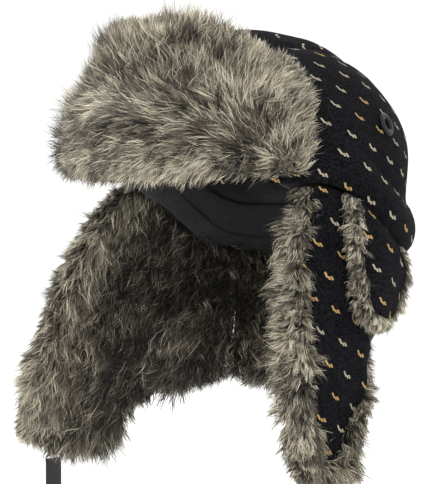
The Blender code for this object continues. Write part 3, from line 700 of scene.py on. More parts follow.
def wadding_finish(name):
    """Fibre wadding, matted and cloudy, near black as painted shade, since it only shows in the gaps between
    the layers.
    """
    f = Finish(name, 0.97, Specular_IOR_Level=0.05)
    place = f.place()
    cloud = f.noise(place, 90.0, 6.0)
    f.feed(Base_Color=f.blend(cloud, (0.003, 0.003, 0.0035), (0.010, 0.010, 0.011)))
    f.bump(cloud, 0.0020, 0.7)
    return f


def stiffener_finish(name):
    """Plain weave: two crossed sine waves, with a colour that drifts a little."""
    f = Finish(name, 0.85, Sheen_Weight=0.1)
    x, y, z = f.split(f.place())
    turns = 2 * math.pi / STIFFENER_PITCH
    weave = ((x + y) * turns).sin() * (z * turns).sin()
    drift = f.noise(f.place(), 50.0, 3.0)
    shade = weave * 0.3 + drift * 0.6
    f.feed(Base_Color=f.blend(shade, (0.012, 0.012, 0.013), (0.040, 0.039, 0.038)))
    f.bump(weave, 0.0002, 0.8)
    return f


def tape_finish(name):
    """Hook-and-loop tape: rows of tiny hooks."""
    f = Finish(name, 0.85, Sheen_Weight=0.2)
    x, _, z = f.split(f.place())
    turns = 2 * math.pi / HOOK_PITCH
    hooks = ((x * turns).sin() * (z * turns).sin()).highest(0.0)
    fuzz = f.noise(f.place(), 1200.0)
    shade = hooks * 0.6 + fuzz * 0.4
    f.feed(Base_Color=f.blend(shade, (0.003, 0.003, 0.0035), (0.016, 0.016, 0.018)))
    f.bump(hooks + fuzz * 0.5, 0.0005, 0.9)
    return f


def webbing_finish(name):
    """Black webbing: steep herringbone ribs between two selvedges."""
    f = Finish(name, 0.72, Sheen_Weight=0.15, Specular_IOR_Level=0.35)
    x, y = f.cloth()
    fold = ((x / HERRINGBONE_PITCH).fraction() - 0.5).size()
    rib = ((y / RIB_PITCH + fold * 2.4) * (2 * math.pi)).sin()
    edge = (x.size() > SELVEDGE_FROM) * 1.0
    fuzz = f.noise(f.place(), 1100.0, 3.0)
    shade = rib * 0.2 + fuzz * 0.5 + edge * 0.1
    f.feed(Base_Color=f.blend(shade, (0.007, 0.007, 0.008), (0.035, 0.035, 0.04)))
    f.feed(Roughness=fuzz * 0.2 + 0.65)
    f.bump(rib * 0.6 + fuzz * 0.5 + edge * 0.4, 0.00025, 0.9)
    return f


def plastic_finish(name):
    """Moulded matte black plastic with a fine spark-eroded grain and rubbed spots."""
    f = Finish(name, 0.42, Specular_IOR_Level=0.5)
    place = f.place()
    grain = f.noise(place, 2600.0, 2.0)
    rub = f.noise(place, 140.0, 4.0)
    f.feed(Base_Color=f.blend(rub, (0.010, 0.010, 0.011), (0.022, 0.022, 0.024)))
    f.feed(Roughness=rub * 0.25 + 0.32)
    f.bump(grain, 0.00006, 0.6)
    return f


def lacquer_finish(name):
    """Black lacquered metal with faint scuffs."""
    f = Finish(name, 0.45, Metallic=0.5, Coat_Weight=0.1, Specular_IOR_Level=0.3)
    scuff = f.noise(f.place(), 900.0, 5.0)
    f.feed(Base_Color=f.blend(scuff, (0.004, 0.004, 0.005), (0.014, 0.014, 0.016)))
    f.feed(Roughness=scuff * 0.30 + 0.35)
    return f


def floor_finish(name):
    """Pale matt floor with the faintest drift in its tone."""
    f = Finish(name, 0.8)
    tint = f.noise(f.place(), 0.6)
    f.feed(Base_Color=f.blend(tint, (0.90, 0.90, 0.90), (0.93, 0.93, 0.93)))
    return f


FINISHES = {
    "crown knit": lambda name: knit_finish(name, CROWN_GOLD),
    "flap knit": lambda name: knit_finish(name, FLAP_GOLD),
    "visor hair": fur_finish,
    "flap hair": fur_finish,
    "dense underfur": underfur_finish,
    "quilted lining": lining_finish,
    "brushed fleece": fleece_finish,
    "charcoal wadding": wadding_finish,
    "interfacing": stiffener_finish,
    "closing tape": tape_finish,
    "black lacquer": lacquer_finish,
    "black webbing": webbing_finish,
    "moulded plastic": plastic_finish,
    "pale floor": floor_finish,
}


# Fur ----------------------------------------------------------------------------


STRAND_ROUNDNESS = 0.75


def root_sheet(points, sign, comb, length, density=1.0, lay=0.75, tone=0.0):
    """A grid that hair grows on: comb(along u, along v, outward) gives its direction."""
    shape = points.shape[:2]
    out = face_out(points, sign)
    across, down = unit(np.gradient(points, axis=0)), unit(np.gradient(points, axis=1))
    sheet = {"points": points, "out": out, "comb": unit(comb(across, down, out))}
    for key, value in (("length", length), ("density", density), ("lay", lay), ("tone", tone)):
        sheet[key] = np.broadcast_to(np.asarray(value, float), shape)
    return sheet


def cell_areas(p):
    """Area of each cell of a grid of points, from two of its sides."""
    return np.linalg.norm(np.cross(p[1:, :-1] - p[:-1, :-1], p[:-1, 1:] - p[:-1, :-1]), axis=-1)


def scatter(sheet, count, rng):
    """Spread roots evenly over a sheet's area and read its fields there, bilinearly."""
    d = sheet["density"]
    area = cell_areas(sheet["points"]) * (d[1:, 1:] + d[:-1, :-1] + d[1:, :-1] + d[:-1, 1:]) / 4
    total = np.cumsum(area.ravel())
    pick = np.searchsorted(total, (np.arange(count) + rng.random(count)) / count * total[-1])
    i, j = np.unravel_index(np.minimum(pick, area.size - 1), area.shape)
    a, b = rng.random((2, count))
    found = {}
    for key in ("points", "out", "comb", "length", "lay", "tone"):
        grid_values = sheet[key]
        fa, fb = (a, b) if grid_values.ndim == 2 else (a[:, None], b[:, None])
        low = mix(grid_values[i, j], grid_values[i + 1, j], fa)
        high = mix(grid_values[i, j + 1], grid_values[i + 1, j + 1], fa)
        found[key] = mix(low, high, fb)
    return found


def sheet_area(sheet):
    """Area of a sheet times its density."""
    return float((cell_areas(sheet["points"]) * sheet["density"][:-1, :-1]).sum())


def groups(points, size, seed):
    """Number of the wavy-walled cell that each point lies in, and how many cells there are."""
    warp = np.stack([ripple(points, seed + k, size * 3.0) for k in range(3)], -1) * size * 0.5
    cells = np.floor((points + warp) / size).astype(np.int64)
    key = (cells[:, 0] * 73856093) ^ (cells[:, 1] * 19349663) ^ (cells[:, 2] * 83492791)
    _, found = np.unique(key, return_inverse=True)
    return found, int(found.max()) + 1


def group_mean(values, found, count):
    """Mean of an array of vectors over each group."""
    sums = np.stack([np.bincount(found, values[:, k], count) for k in range(values.shape[1])], -1)
    return sums / np.maximum(np.bincount(found, minlength=count), 1)[:, None]


def strands(name, body, sheets, count, finish, seed, curl=0.10, wild=1.0, width=0.00055,
            lock_size=0.012, clump_size=0.0034, gather=0.72, droop=0.15):
    """Hair over root sheets, each strand a tapered ribbon.

    A strand leaves its root along a mix of the surface normal and the comb direction and
    bends toward the comb: P(t) = root + L (d0 (t - t^2/2) + d1 t^2/2), plus a sine curl.
    Its tip is drawn to the middle of its clump, which gives pointed tufts.
    """
    look = bpy.context.scene.hat_fur
    rng = np.random.default_rng(seed)
    count = int(count * look.density)
    shares = np.array([sheet_area(s) for s in sheets])
    counts = np.maximum((shares / shares.sum() * count).astype(int), 8)
    parts = [scatter(s, c, rng) for s, c in zip(sheets, counts)]
    root, out, comb, length, lay, tone = (
        np.concatenate([part[key] for part in parts])
        for key in ("points", "out", "comb", "length", "lay", "tone"))
    count = len(root)
    out, comb = unit(out), unit(comb)
    side = unit(np.cross(comb, out))
    lock, locks = groups(root, lock_size, seed)
    clump, clumps = groups(root, clump_size, seed + 7)
    sway_lock = rng.normal(size=(locks, 3))[lock]
    sway_clump = rng.normal(size=(clumps, 3))[clump]
    sway = rng.normal(size=(count, 3))
    stray = (sway_lock * 0.20 + sway_clump * 0.22 + sway * 0.10) * wild

    lean0 = np.clip(lay - 0.30, 0.05, 1.0)[:, None]
    lean1 = np.clip(lay + 0.10, 0.05, 1.0)[:, None]
    start = unit(out * (1 - lean0) + comb * lean0 + stray)
    finish_dir = unit(out * (1 - lean1) + comb * lean1 + stray * 1.2 - UP * droop)
    length = length * look.length * rng.normal(1.0, 0.14, count).clip(0.55, 1.35)
    length = length * (1 + 0.18 * rng.normal(size=locks))[lock]
    mean_root = group_mean(root, clump, clumps)[clump]
    mean_start = unit(group_mean(start, clump, clumps))[clump]
    mean_finish = unit(group_mean(finish_dir, clump, clumps))[clump]

    t = np.array([0.0, 0.24, 0.48, 0.74, 1.0])
    a, b = (t - t * t / 2)[None, :, None], (t * t / 2)[None, :, None]
    reach = length[:, None, None]
    own = root[:, None] + reach * (start[:, None] * a + finish_dir[:, None] * b)
    shared = mean_root[:, None] + reach * (mean_start[:, None] * a + mean_finish[:, None] * b)
    pull = (gather * rng.uniform(0.6, 1.0, count))[:, None, None] * (t**1.3)[None, :, None]
    path = mix(own, shared, pull)
    phase = rng.uniform(0, 2 * math.pi, clumps)[clump][:, None] + rng.normal(0, 0.5, count)[:, None]
    turns = rng.uniform(0.5, 1.3, clumps)[clump][:, None]
    wave = (np.sin(phase + 2 * math.pi * turns * t) - np.sin(phase)) * t**0.7 * curl * length[:, None]
    path = path + side[:, None] * wave[..., None]

    along = unit(np.gradient(path, axis=1))
    twist = rng.normal(0, 0.65, count)[:, None]
    facing = unit(out * np.cos(twist) + side * np.sin(twist))
    edge = unit(np.cross(along, facing[:, None]))
    face = np.cross(edge, along)
    taper = np.array([0.85, 1.0, 0.85, 0.55])
    half = width * look.thickness * rng.uniform(0.7, 1.25, count)[:, None] * taper / 2
    left = path[:, :4] - edge[:, :4] * half[..., None]
    right = path[:, :4] + edge[:, :4] * half[..., None]
    points = np.concatenate([np.stack([left, right], 2).reshape(count, 8, 3), path[:, 4:]], 1)
    left = unit(face[:, :4] - edge[:, :4] * STRAND_ROUNDNESS)
    right = unit(face[:, :4] + edge[:, :4] * STRAND_ROUNDNESS)
    normals = np.concatenate([np.stack([left, right], 2).reshape(count, 8, 3), face[:, 4:]], 1)

    shade = 0.50 + tone + rng.normal(0, 0.12, locks)[lock] + rng.normal(0, 0.20, clumps)[clump]
    shade = shade + rng.normal(0, 0.25, count) + look.tone
    tint = np.clip((shade * TINTS).astype(int), 0, TINTS - 1)
    us = (tint[:, None] + np.array([0.2, 0.8] * 4 + [0.5])) / TINTS
    vs = np.broadcast_to(np.repeat(t, 2)[:9], us.shape) * 0.96 + 0.02
    pattern = np.array([(0, 1, 3), (0, 3, 2), (2, 3, 5), (2, 5, 4), (4, 5, 7), (4, 7, 6), (6, 7, 8)])
    corners = (pattern[None] + (np.arange(count) * 9)[:, None, None]).ravel()
    mesh = bpy.data.meshes.new(name)
    mesh.vertices.add(count * 9)
    mesh.vertices.foreach_set("co", points.astype(np.float32).ravel())
    mesh.loops.add(len(corners))
    mesh.loops.foreach_set("vertex_index", corners.astype(np.int32))
    mesh.polygons.add(count * 7)
    mesh.polygons.foreach_set("loop_start", np.arange(count * 7, dtype=np.int32) * 3)
    mesh.update(calc_edges=True)
    uv = np.stack([us.ravel()[corners], vs.ravel()[corners]], -1).astype(np.float32).ravel()
    for layer_name in ("strand", "OFBake"):
        mesh.uv_layers.new(name=layer_name).data.foreach_set("uv", uv)
    mesh.uv_layers["strand"].active_render = True
    mesh.shade_smooth()
    mesh.normals_split_custom_set_from_vertices(normals.reshape(-1, 3).tolist())
    ob = add_object(name, mesh, finish, body)
    return ob


# Knit panels, lining and band -----------------------------------------------------

KNIT = 0.0018
PANEL_GAP = 0.0006
LINING_OUT, LINING_IN = -0.0074, -0.0086
BAND_OUT, BAND_IN = -0.0098, -0.0120
FUR_OUT, FUR_IN = -0.0082, -0.0162
VISOR_FUR_IN = 0.0038
VISOR_RADIUS = 0.11
VISOR_BACK_ARC = VISOR_ARC - 0.05


def puff(points, edge, rise, dip, seed, wrinkle=0.0009):
    """Height of padded cloth: level inside, dipping at its seams, with soft wrinkles."""
    near = np.exp(-edge / 0.012)
    height = rise * ease(edge / 0.022) - dip * bell(edge, 0, 0.0030)
    height = height + wrinkle * ripple(points, seed, 0.055) * ease(edge / 0.015)
    return height + 0.0007 * ripple(points * np.array([1, 1, 0.45]), seed + 1, 0.016) * near


def hem_roll(y, z):
    """Extra height of the crown above its lower edge, where the padded cloth folds over."""
    above = np.maximum(z - hem_height(y), 0.0)
    share = ease((y + 0.050) / 0.035)
    return share * 0.0065 * np.sin(math.pi * np.clip(above / 0.034, 0, 1)) ** 0.7


def side_cloth(points, sign):
    """Metres over a side panel, spread from its middle as a flat cut would lie."""
    x, y, z = (points[..., k] for k in range(3))
    b, h = y / CROWN_HALF_DEPTH, (z - WALL_RISE) / DOME_RISE
    flat = np.maximum(np.hypot(b, h), 1e-6)
    reach = np.arctan2(flat, np.maximum(sign * x, 0.0) / CROWN_HALF_WIDTH)
    return np.stack([reach * 0.108 * b / flat, reach * 0.094 * h / flat], -1)


def crown_side_panel(side):
    """Padded knit panel from the lower edge up to its seam with the top panel."""
    sign = SIDES[side]
    reach = (TOP_PANEL_HALF_WIDTH + PANEL_GAP / 2) / CROWN_HALF_WIDTH
    half_arc = math.acos(reach)
    phi, v = grid(math.pi / 2 - half_arc * np.cos(math.pi * steps(0, 1, 84)),
                  np.concatenate([steps(-1, 0, 16), steps(0, 1, 34)[1:]]))
    crest = np.arccos(np.minimum(reach / np.sin(phi), 1.0))
    rise = np.where(v < 0, v, v * crest)
    flat = crown_point(phi, rise, 0 * phi)
    edge = np.maximum(1 - np.maximum(v, 0), 0) * crest * 0.10
    height = puff(flat, edge, 0.0022, 0.0022, 11) + hem_roll(flat[..., 1], flat[..., 2])
    outer = crown_point(phi, rise, height) * mirror(side)
    inner = crown_point(phi, rise, height * 0.5 - KNIT) * mirror(side)
    finish = "crown knit"
    ob = slab("crown_side_cloth_" + side, outer, inner, finish, "crown", uv=side_cloth(outer, sign))
    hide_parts("crown_side_panel_" + side)


def crown_top_point(u, v, height):
    """Point of the top panel: u across it, v round from the brow over to the nape."""
    a, b, h = CROWN_HALF_WIDTH, CROWN_HALF_DEPTH, DOME_RISE
    narrow = np.sqrt(1 - u * u)
    swing = np.clip(v, 0, math.pi)
    x, y, lift = a * u, -b * narrow * np.cos(swing), narrow * np.sin(swing)
    below = np.maximum(np.maximum(-v, v - math.pi), 0.0)
    z = mix(WALL_RISE + h * lift, hem_height(y), below)
    out = unit(vec(x / a**2, y / b**2, lift / h))
    return raised(vec(x, y, z), out, height)


def crown_top():
    """Padded knit panel over the top, from brow to nape."""
    reach = (TOP_PANEL_HALF_WIDTH - PANEL_GAP / 2) / CROWN_HALF_WIDTH
    u, v = grid(steps(-reach, reach, 32),
                np.concatenate([steps(-1, 0, 8), steps(0, math.pi, 96)[1:], math.pi + steps(0, 1, 18)[1:]]))
    flat = crown_top_point(u, v, 0 * u)
    edge = (reach - np.abs(u)) * CROWN_HALF_WIDTH
    height = puff(flat, edge, 0.0038, 0.0022, 23) + hem_roll(flat[..., 1], flat[..., 2]) * (v > math.pi / 2)
    outer = crown_top_point(u, v, height)
    uv = np.stack([u * CROWN_HALF_WIDTH, v * 0.104], -1)
    finish = "crown knit"
    ob = slab("crown_top_cloth", outer, crown_top_point(u, v, height * 0.5 - KNIT), finish, "crown", uv=uv)
    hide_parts("crown_top_panel")


def crown_lining():
    """Quilted lining: a dome whose diamonds puff in toward the head."""
    phi, rise = grid(headings(144),
                     np.concatenate([steps(-1, 0, 10), steps(0, math.pi / 2, 40)[1:]]))
    flat = crown_point(phi, rise, 0 * phi)
    turn = phi * 9
    climb = (flat[..., 2] + 0.05) / 0.026 * math.pi
    quilt = np.sqrt(np.abs(np.sin(turn + climb) * np.sin(turn - climb)))
    quilt = quilt * ease((math.pi / 2 - rise) / 0.5)
    clear = ease((flat[..., 2] - hem_height(flat[..., 1]) - 0.03) / 0.008)
    outer = crown_point(phi, rise, LINING_OUT + 0 * phi)
    inner = crown_point(phi, rise, LINING_IN - 0.0022 * quilt * clear)
    finish = "quilted lining"
    uv = np.stack([phi * 0.09, flat[..., 2]], -1)
    ob = slab("crown_quilted_lining", outer, inner, finish, "crown", wrap=True, uv=uv, open_ends=("high",))
    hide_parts("crown_lining")


def sweatband():
    """Fleece band inside the lower edge, thicker in its middle, with a rolled lower rim."""
    phi, v = grid(headings(160), steps(0, 1, 14))
    z = hem_at(phi) + v * SWEATBAND_HEIGHT
    swell = np.sqrt(np.maximum(1 - (2 * v - 1) ** 8, 0))
    ridge = 0.0004 * bell(v, 0.12, 0.03)
    middle = (BAND_OUT + BAND_IN) / 2
    outer = crown_at(phi, z, mix(middle, BAND_OUT, swell))
    inner = crown_at(phi, z, mix(middle, BAND_IN, swell) + ridge)
    finish = "brushed fleece"
    ob = slab("sweatband_fleece", outer, inner, finish, "crown", wrap=True)
    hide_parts("sweatband")


def seam_tape():
    """Cloth tape inside the lower edge, over the seam between the band and the flaps' pile."""
    phi, v = grid(headings(180), steps(0, 1, 18))
    hem = hem_at(phi)
    over_flaps = ease((math.radians(125) - np.abs(phi - math.pi)) / math.radians(22))
    z = hem + mix(0.006, mix(0.0015, -HEM_GAP - 0.011, over_flaps), v)
    swell = np.sqrt(np.maximum(1 - (2 * v - 1) ** 6, 0))
    middle = crown_at(phi, np.maximum(z, hem), -0.0129 + 0 * phi)
    middle[..., 2] = z
    ripples = 0.0004 * ripple(middle, 151, 0.02)
    out = unit(vec(middle[..., 0] / CROWN_HALF_WIDTH**2, middle[..., 1] / CROWN_HALF_DEPTH**2, 0 * z))
    thick = (0.00012 + 0.0005 * swell)[..., None]
    middle = middle + out * ripples[..., None]
    finish = "brushed fleece"
    ob = slab("hem_seam_tape", middle + out * thick, middle - out * thick, finish, "crown", wrap=True)


def turned(name, profile, spot, out, finish, body, count=64):
    """Turn a closed profile of (radius, height) about a direction: r cos, r sin, h."""
    radius, height = np.array(profile).T
    angle, k = grid(headings(count), np.arange(len(radius)))
    k = k.astype(int)
    angle = angle[..., None]
    across = unit(np.cross(out, UP))
    upward = np.cross(out, across)
    spoke = across * np.cos(angle) + upward * np.sin(angle)
    points = raised(spot, out, height[k]) + spoke * radius[k][..., None]
    mesh = bpy.data.meshes.new(name)
    columns = len(radius)
    first = np.arange(count) * columns
    following = np.roll(first, -1)
    last = columns - 1
    rim = np.stack([first + last, following + last, following, first], -1)
    faces = np.concatenate([grid_faces(count, columns, True), rim])
    mesh.from_pydata(points.reshape(-1, 3), [], faces.tolist())
    face_outward(mesh)
    return add_object(name, mesh, finish, body)


# Middle radius of an eyelet's ring, and the heights of its seat and its barrel's foot.
EYELET_RING = 0.0061
EYELET_SEAT = 0.0022
EYELET_FOOT = -0.0112


def vent_eyelets():
    """A lacquered rolled ring and barrel through each side panel."""
    rise = math.radians(18)
    phi = math.acos(-0.036 / (CROWN_HALF_DEPTH * math.cos(rise)))
    spot = crown_point(np.array(phi), np.array(rise), np.array(0.0))
    out = unit(crown_point(np.array(phi), np.array(rise), np.array(1.0)) - spot)
    turns = np.linspace(0, math.pi, 10)
    roll = [(EYELET_RING + 0.0022 * math.cos(t), 0.0030 + 0.0014 * math.sin(t)) for t in turns]
    barrel = [(0.0040, EYELET_FOOT), (0.0046, EYELET_FOOT)]
    profile = roll + barrel + [(0.0047, EYELET_SEAT), (0.0083, EYELET_SEAT)]
    finish = "black lacquer"
    for side in SIDES:
        there, away = spot * mirror(side), out * mirror(side)
        ob = turned("vent_eyelet_" + side, profile, there, away, finish, "crown")
        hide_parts("eyelet_" + side)


def visor_back():
    """Knit back of the visor, puffed a little over its stiffener."""
    phi, v = grid(steps(-VISOR_BACK_ARC, VISOR_BACK_ARC, 96), steps(0, 1, 28))
    z = mix(0.0036, visor_top(phi) - 0.006 - far_corner(phi), v)
    flat = visor_point(phi, z, 0 * phi)
    ends = (VISOR_BACK_ARC - np.abs(phi)) * VISOR_RADIUS
    edge = np.minimum(np.minimum(v, 1 - v) * (visor_top(phi) - 0.01), ends)
    away = ease(edge / 0.01)
    outer = visor_point(phi, z, KNIT + 0 * phi)
    inner = visor_point(phi, z, -0.0006 * away + 0.0004 * ripple(flat, 5, 0.04) * away)
    finish = "crown knit"
    ob = slab("visor_back_cloth", outer, inner, finish, "visor", uv=metres(flat))
    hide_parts("visor_backing")


# Visor fur ------------------------------------------------------------------------


def far_corner(phi):
    """How much lower the fur's upper edge lies toward the wearer's right."""
    return 0.013 * ease((-phi - math.radians(4)) / math.radians(34))


def visor_chart(columns, rows, inset):
    """Heading, height and shares over the visor, inset from its outline."""
    s, t = grid(steps(-1, 1, columns), steps(0, 1, rows))
    phi = s * (VISOR_ARC - inset / VISOR_RADIUS)
    z = mix(inset * 0.55, visor_top(phi) - inset - far_corner(phi), t)
    return s, t, phi, z


def visor_part(s):
    """Share of the visor's height at which its hair parts."""
    return 0.16 + 0.10 * np.cos(2.2 * s) - 0.12 * s


def visor_comb(s, t):
    """Direction of the visor's hair on its cloth, as an angle from the wearer's left.

    High up it stands; toward the right end and below the middle it sweeps to the right; and
    it fans out of the lower left corner.
    """
    high = math.radians(97) - math.radians(38) * s
    low = math.radians(188) - math.radians(78) * ease((s - 0.45) / 0.55)
    part = visor_part(s)
    angle = mix(low, high, ease((t - part) / 0.50))
    return angle + math.radians(30) * ease((0.14 - t) / 0.14) * (s < 0.7)


VISOR_HAIRS = 27500


def visor_fur():
    """Dark pile skin and long combed hair on the visor's front, over its edges."""
    s, t, phi, z = visor_chart(110, 60, 0.013)
    edge = np.minimum(np.minimum(t, 1 - t) * (visor_top(phi) - 0.01), (1 - np.abs(s)) * 0.125)
    round_off = rounded(edge, 0.022)
    flat = visor_point(phi, z, 0 * phi)
    lump = 0.0016 * ripple(flat, 31, 0.05) * round_off
    outer = visor_point(phi, z, VISOR_FUR_IN + 0.001 + 0.0042 * round_off + lump)
    inner = visor_point(phi, z, VISOR_FUR_IN + 0 * phi)
    skin = slab("visor_pile", outer, inner, "dense underfur", "visor")
    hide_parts("visor_fur")

    def comb(across, down, out):
        angle = visor_comb(s, t)[..., None]
        spread = ease((0.05 - (1 - t)) / 0.05)[..., None] * 0.2
        return across * np.cos(angle) + down * np.sin(angle) + UP * spread

    # Painted shade: the hair is darkened along the crease where it parts; the ripple terms below give random
    # darker and paler patches.
    dark = -0.42 * bell(t - visor_part(s), 0.08, 0.05) * ease((0.9 - s) / 0.4)
    dark = dark - 0.34 * ease((ripple(flat, 41, 0.034) - 0.25) / 0.4) + 0.12 * ripple(flat, 43, 0.022)
    length = 0.0178 + 0.0025 * ripple(flat, 47, 0.05)
    length = length * mix(0.72, 1.0, ease(edge / 0.02)) * mix(0.85, 1.0, ease((t - 0.05) / 0.2))
    crest = ease((t - 0.72) / 0.25)
    tall = 0.60 + 0.62 * bell(phi, math.radians(24), math.radians(24))
    length = length * mix(1.0, tall, crest)
    lay = mix(0.72, 0.90, ease(edge / 0.02))
    # Painted shade: the hair is darkened toward the visor's far end, on the wearer's right.
    far_end_shade = 0.17 * ease((0.1 - s) / 0.7)
    sheet = root_sheet(outer, 1, comb, length, 1.0, lay, dark + 0.10 - far_end_shade)
    for k in range(3):
        strands("visor_hair_%d" % (k + 1), "visor", [sheet], VISOR_HAIRS, "visor hair", 100 + k,
                curl=0.06, wild=0.85, width=0.00044, clump_size=0.0027, gather=0.58)


# Ear flaps, nape curtain and side flaps ---------------------------------------------


# How deep the cloth turns in at an edge where it is bound to the pile.
LAYERS = -0.0086

# Where the pile of the ear flaps and the curtain starts and ends, outward from the cloth.
PILE_INSET = 0.008
PILE_ROUND = 0.011
PILE_RIM_OUT, PILE_RIM_IN = -0.006, -0.0075
PILE_IN = -0.0118
PILE_TUCK = 0.0030
FLAP_DROP = 0.20
RIM_HAIRS = 23000
LINING_HAIRS = {"left": 18000, "right": 24000}
INNER_HAIRS = 10000
NAPE_HAIRS = 21000
SIDE_FLAP_HAIRS = 13000
GORE_HAIRS = 2600
FLAP_SEED = {"left": 200, "right": 300}
SIDE_FLAP_SEED = {"left": 500, "right": 600}

# The side flap's layers, outward from where it stands off, and its height.
SIDE_PILE_OUT = 0.0072
SIDE_CLOTH_OUT = 0.0088
SIDE_FLAP_HEIGHT = 0.075

# Half thickness of the gusset and the gore, and how far inside the cloth they are sewn.
GUSSET_HALF = 0.0006
GORE_HALF = 0.0012
GUSSET_DEPTH = -0.0092


def front_strip(v):
    """Width of the strip of fur along an ear flap's front edge, wider toward its tip."""
    return FUR_MARGIN * mix(1.0, 0.78, ease((0.50 - v) / 0.3)) + FUR_TIP_MARGIN * v**3


def flap_shell(side):
    """Padded knit outside of an ear flap, tucked under the fur at its edges."""
    uu, vv = grid(steps(0, 1, 60), steps(0, 1, 96))
    v = vv * FLAP_CLOTH_SHARE
    width = flap_width(v)
    start = front_strip(v) / width
    end = 1 - FUR_MARGIN * seam_share(v) / width
    y, z = flap_spot(mix(start, end, uu), v)
    flat = curtain_point(side, y, z, 0 * y)
    edge = np.minimum(np.minimum(uu, 1 - uu) * width, (1 - vv) * 0.17)
    height = puff(flat, edge, 0.0022, 0.0006, 61, 0.0010)
    fold = 0.0012 * np.sin((y * 0.35 + z) / 0.0065 + 2 * ripple(flat, 63, 0.06)) * ease(edge / 0.02)
    height = (height + fold * ease((z + 0.150) / 0.05)) * ease(vv / 0.06)
    outer = curtain_point(side, y, z, height)
    bound = ease((0.0045 - (1 - uu) * width) / 0.0035) * ease((0.5 - seam_share(v)) / 0.3)
    inner = curtain_point(side, y, z, mix(np.minimum(height, 0) * 0.5 - KNIT, LAYERS, bound))
    finish = "flap knit"
    ob = slab("ear_flap_cloth_" + side, outer, inner, finish, "ear_flap_" + side, uv=np.stack([y, z], -1))
    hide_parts("ear_flap_shell_" + side)


def flap_pile(side):
    """Grids of the two faces of an ear flap's pile, and how far each place is from the edges."""
    uu, vv = grid(steps(0, 1, 70), steps(0, 1, 96))
    v = vv * (1 - PILE_INSET / FLAP_DROP)
    width = flap_width(v)
    seam = seam_share(v)
    u = mix(PILE_INSET / width, 1 - PILE_INSET * seam / width, uu)
    y, z = flap_spot(u, v)
    front = u * width - PILE_INSET
    rear = (1 - u) * width - PILE_INSET * seam
    low = (1 - v) * FLAP_DROP - PILE_INSET
    free = ease((seam - 0.12) / 0.6)
    edge = np.minimum(np.minimum(front, low), mix(0.05, rear, free))
    round_off = rounded(edge, PILE_ROUND)
    front_share = front / (front_strip(v) - PILE_INSET)
    rear_share = rear / np.maximum(FUR_MARGIN * seam - PILE_INSET * seam, 1e-4)
    margin = np.minimum(np.minimum(front_share, rear_share), low / 0.012)
    under = ease((margin - 0.74) / 0.2)
    outer = curtain_point(side, y, z, mix(mix(PILE_RIM_OUT, 0.0016, round_off), FUR_OUT, under))
    inner = curtain_point(side, y, z, mix(PILE_RIM_IN, PILE_IN, round_off))
    return {"v": vv, "outer": outer, "inner": inner, "edge": edge, "margin": margin, "front": front,
            "rear": rear, "free": free}


def flap_fur(side):
    """Pile skin of an ear flap, hair on its lining, and hair round its edges."""
    pile = flap_pile(side)
    body = "ear_flap_" + side
    skin = slab("ear_flap_pile_" + side, pile["outer"], pile["inner"], "dense underfur", body)
    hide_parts("ear_flap_fur_" + side)
    away = ease((0.030 - pile["front"]) / 0.03) * -1 + ease((0.030 - pile["rear"]) / 0.03) * pile["free"]
    away = (away * mix(1.0, 0.15, ease((pile["v"] - 0.55) / 0.35)))[..., None]
    top = ease(pile["v"] / 0.10)
    near_top = ease((0.50 - pile["v"]) / 0.3)
    corner = ease((0.034 - pile["front"]) / 0.024)
    low_down = ease((pile["v"] - 0.85) / 0.12) * (1 - corner)
    tuft = 0.5 * bell(pile["v"], 0.80, 0.07) * (side == "right")
    fringe = 1 + corner * (tuft - 0.40 * ease((pile["v"] - 0.88) / 0.08))

    def comb_out(across, down, out):
        return down * 0.80 + across * away * 1.1

    def comb_in(across, down, out):
        return down * 1.0 + across * away * 0.45

    edge_length = 0.0132 + 0.0022 * ripple(pile["outer"], 71, 0.04)
    rim_tone = 0.02 + 0.09 * ripple(pile["outer"], 73, 0.03)
    on_margin = (pile["margin"] < mix(0.82, 0.74, near_top)) * 1.0
    outer_sign = -SIDES[side]
    rim_length = edge_length * mix(0.65, 1, top) * mix(1, 0.75, near_top) * (1 + 0.5 * low_down) * fringe
    rim = root_sheet(pile["outer"], outer_sign, comb_out, rim_length,
                     on_margin * 1.6, mix(0.55, 0.80, ease(pile["edge"] / 0.01)), rim_tone)
    # Painted shade: the hair inside the flap is darkened, less so near its front edge; the ripple gives
    # random tone.
    lining_shade_and_tone = -0.44 + 0.10 * ripple(pile["inner"], 75, 0.035)
    lining_shade_and_tone = lining_shade_and_tone + 0.46 * ease((0.058 - pile["front"]) / 0.05)
    lining_length = mix(0.012, 0.017, top) * (1 + 0.4 * low_down) * fringe
    lining = root_sheet(pile["inner"], -outer_sign, comb_in, lining_length, 1.0,
                        mix(0.58, 0.80, ease(pile["edge"] / 0.012)), lining_shade_and_tone)
    seed = FLAP_SEED[side]
    strands("ear_flap_rim_hair_" + side, body, [rim], RIM_HAIRS, "flap hair", seed, curl=0.11,
            wild=0.85, width=0.0005, clump_size=0.0027, lock_size=0.009, gather=0.62)
    strands("ear_flap_lining_hair_" + side, body, [lining], LINING_HAIRS[side], "flap hair", seed + 5,
            curl=0.11, wild=0.85, width=0.0005, clump_size=0.0030, gather=0.65)
    if side == "right":
        strands("ear_flap_inner_hair_" + side, body, [lining], INNER_HAIRS, "flap hair", seed + 9,
                curl=0.12, wild=0.9)


def flap_gusset():
    """Black cloth that closes the gap between the lower edge and the flap that stands out."""
    y, v = grid(steps(-0.052, 0.062, 60), steps(0, 1, 16))
    phi = np.arccos(np.clip(-y / CROWN_HALF_DEPTH, -1, 1))
    hem = hem_height(y)
    inside = crown_at(2 * math.pi - phi, hem + 0.004, GUSSET_DEPTH + 0 * y)
    flap = curtain_point("right", y, hem - 0.0045, GUSSET_DEPTH + 0 * y)
    middle = mix(inside, flap, v[..., None])
    middle[..., 2] -= 0.003 * np.sin(math.pi * v) * (1 + 0.5 * ripple(middle, 161, 0.02))
    out = face_out(middle, -1)
    thick = out * GUSSET_HALF
    finish = "brushed fleece"
    ob = slab("flap_gusset_right", middle + thick, middle - thick, finish, None)
    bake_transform(ob)


def straight_down(across, down, out):
    """A comb direction that runs down the sheet."""
    return down


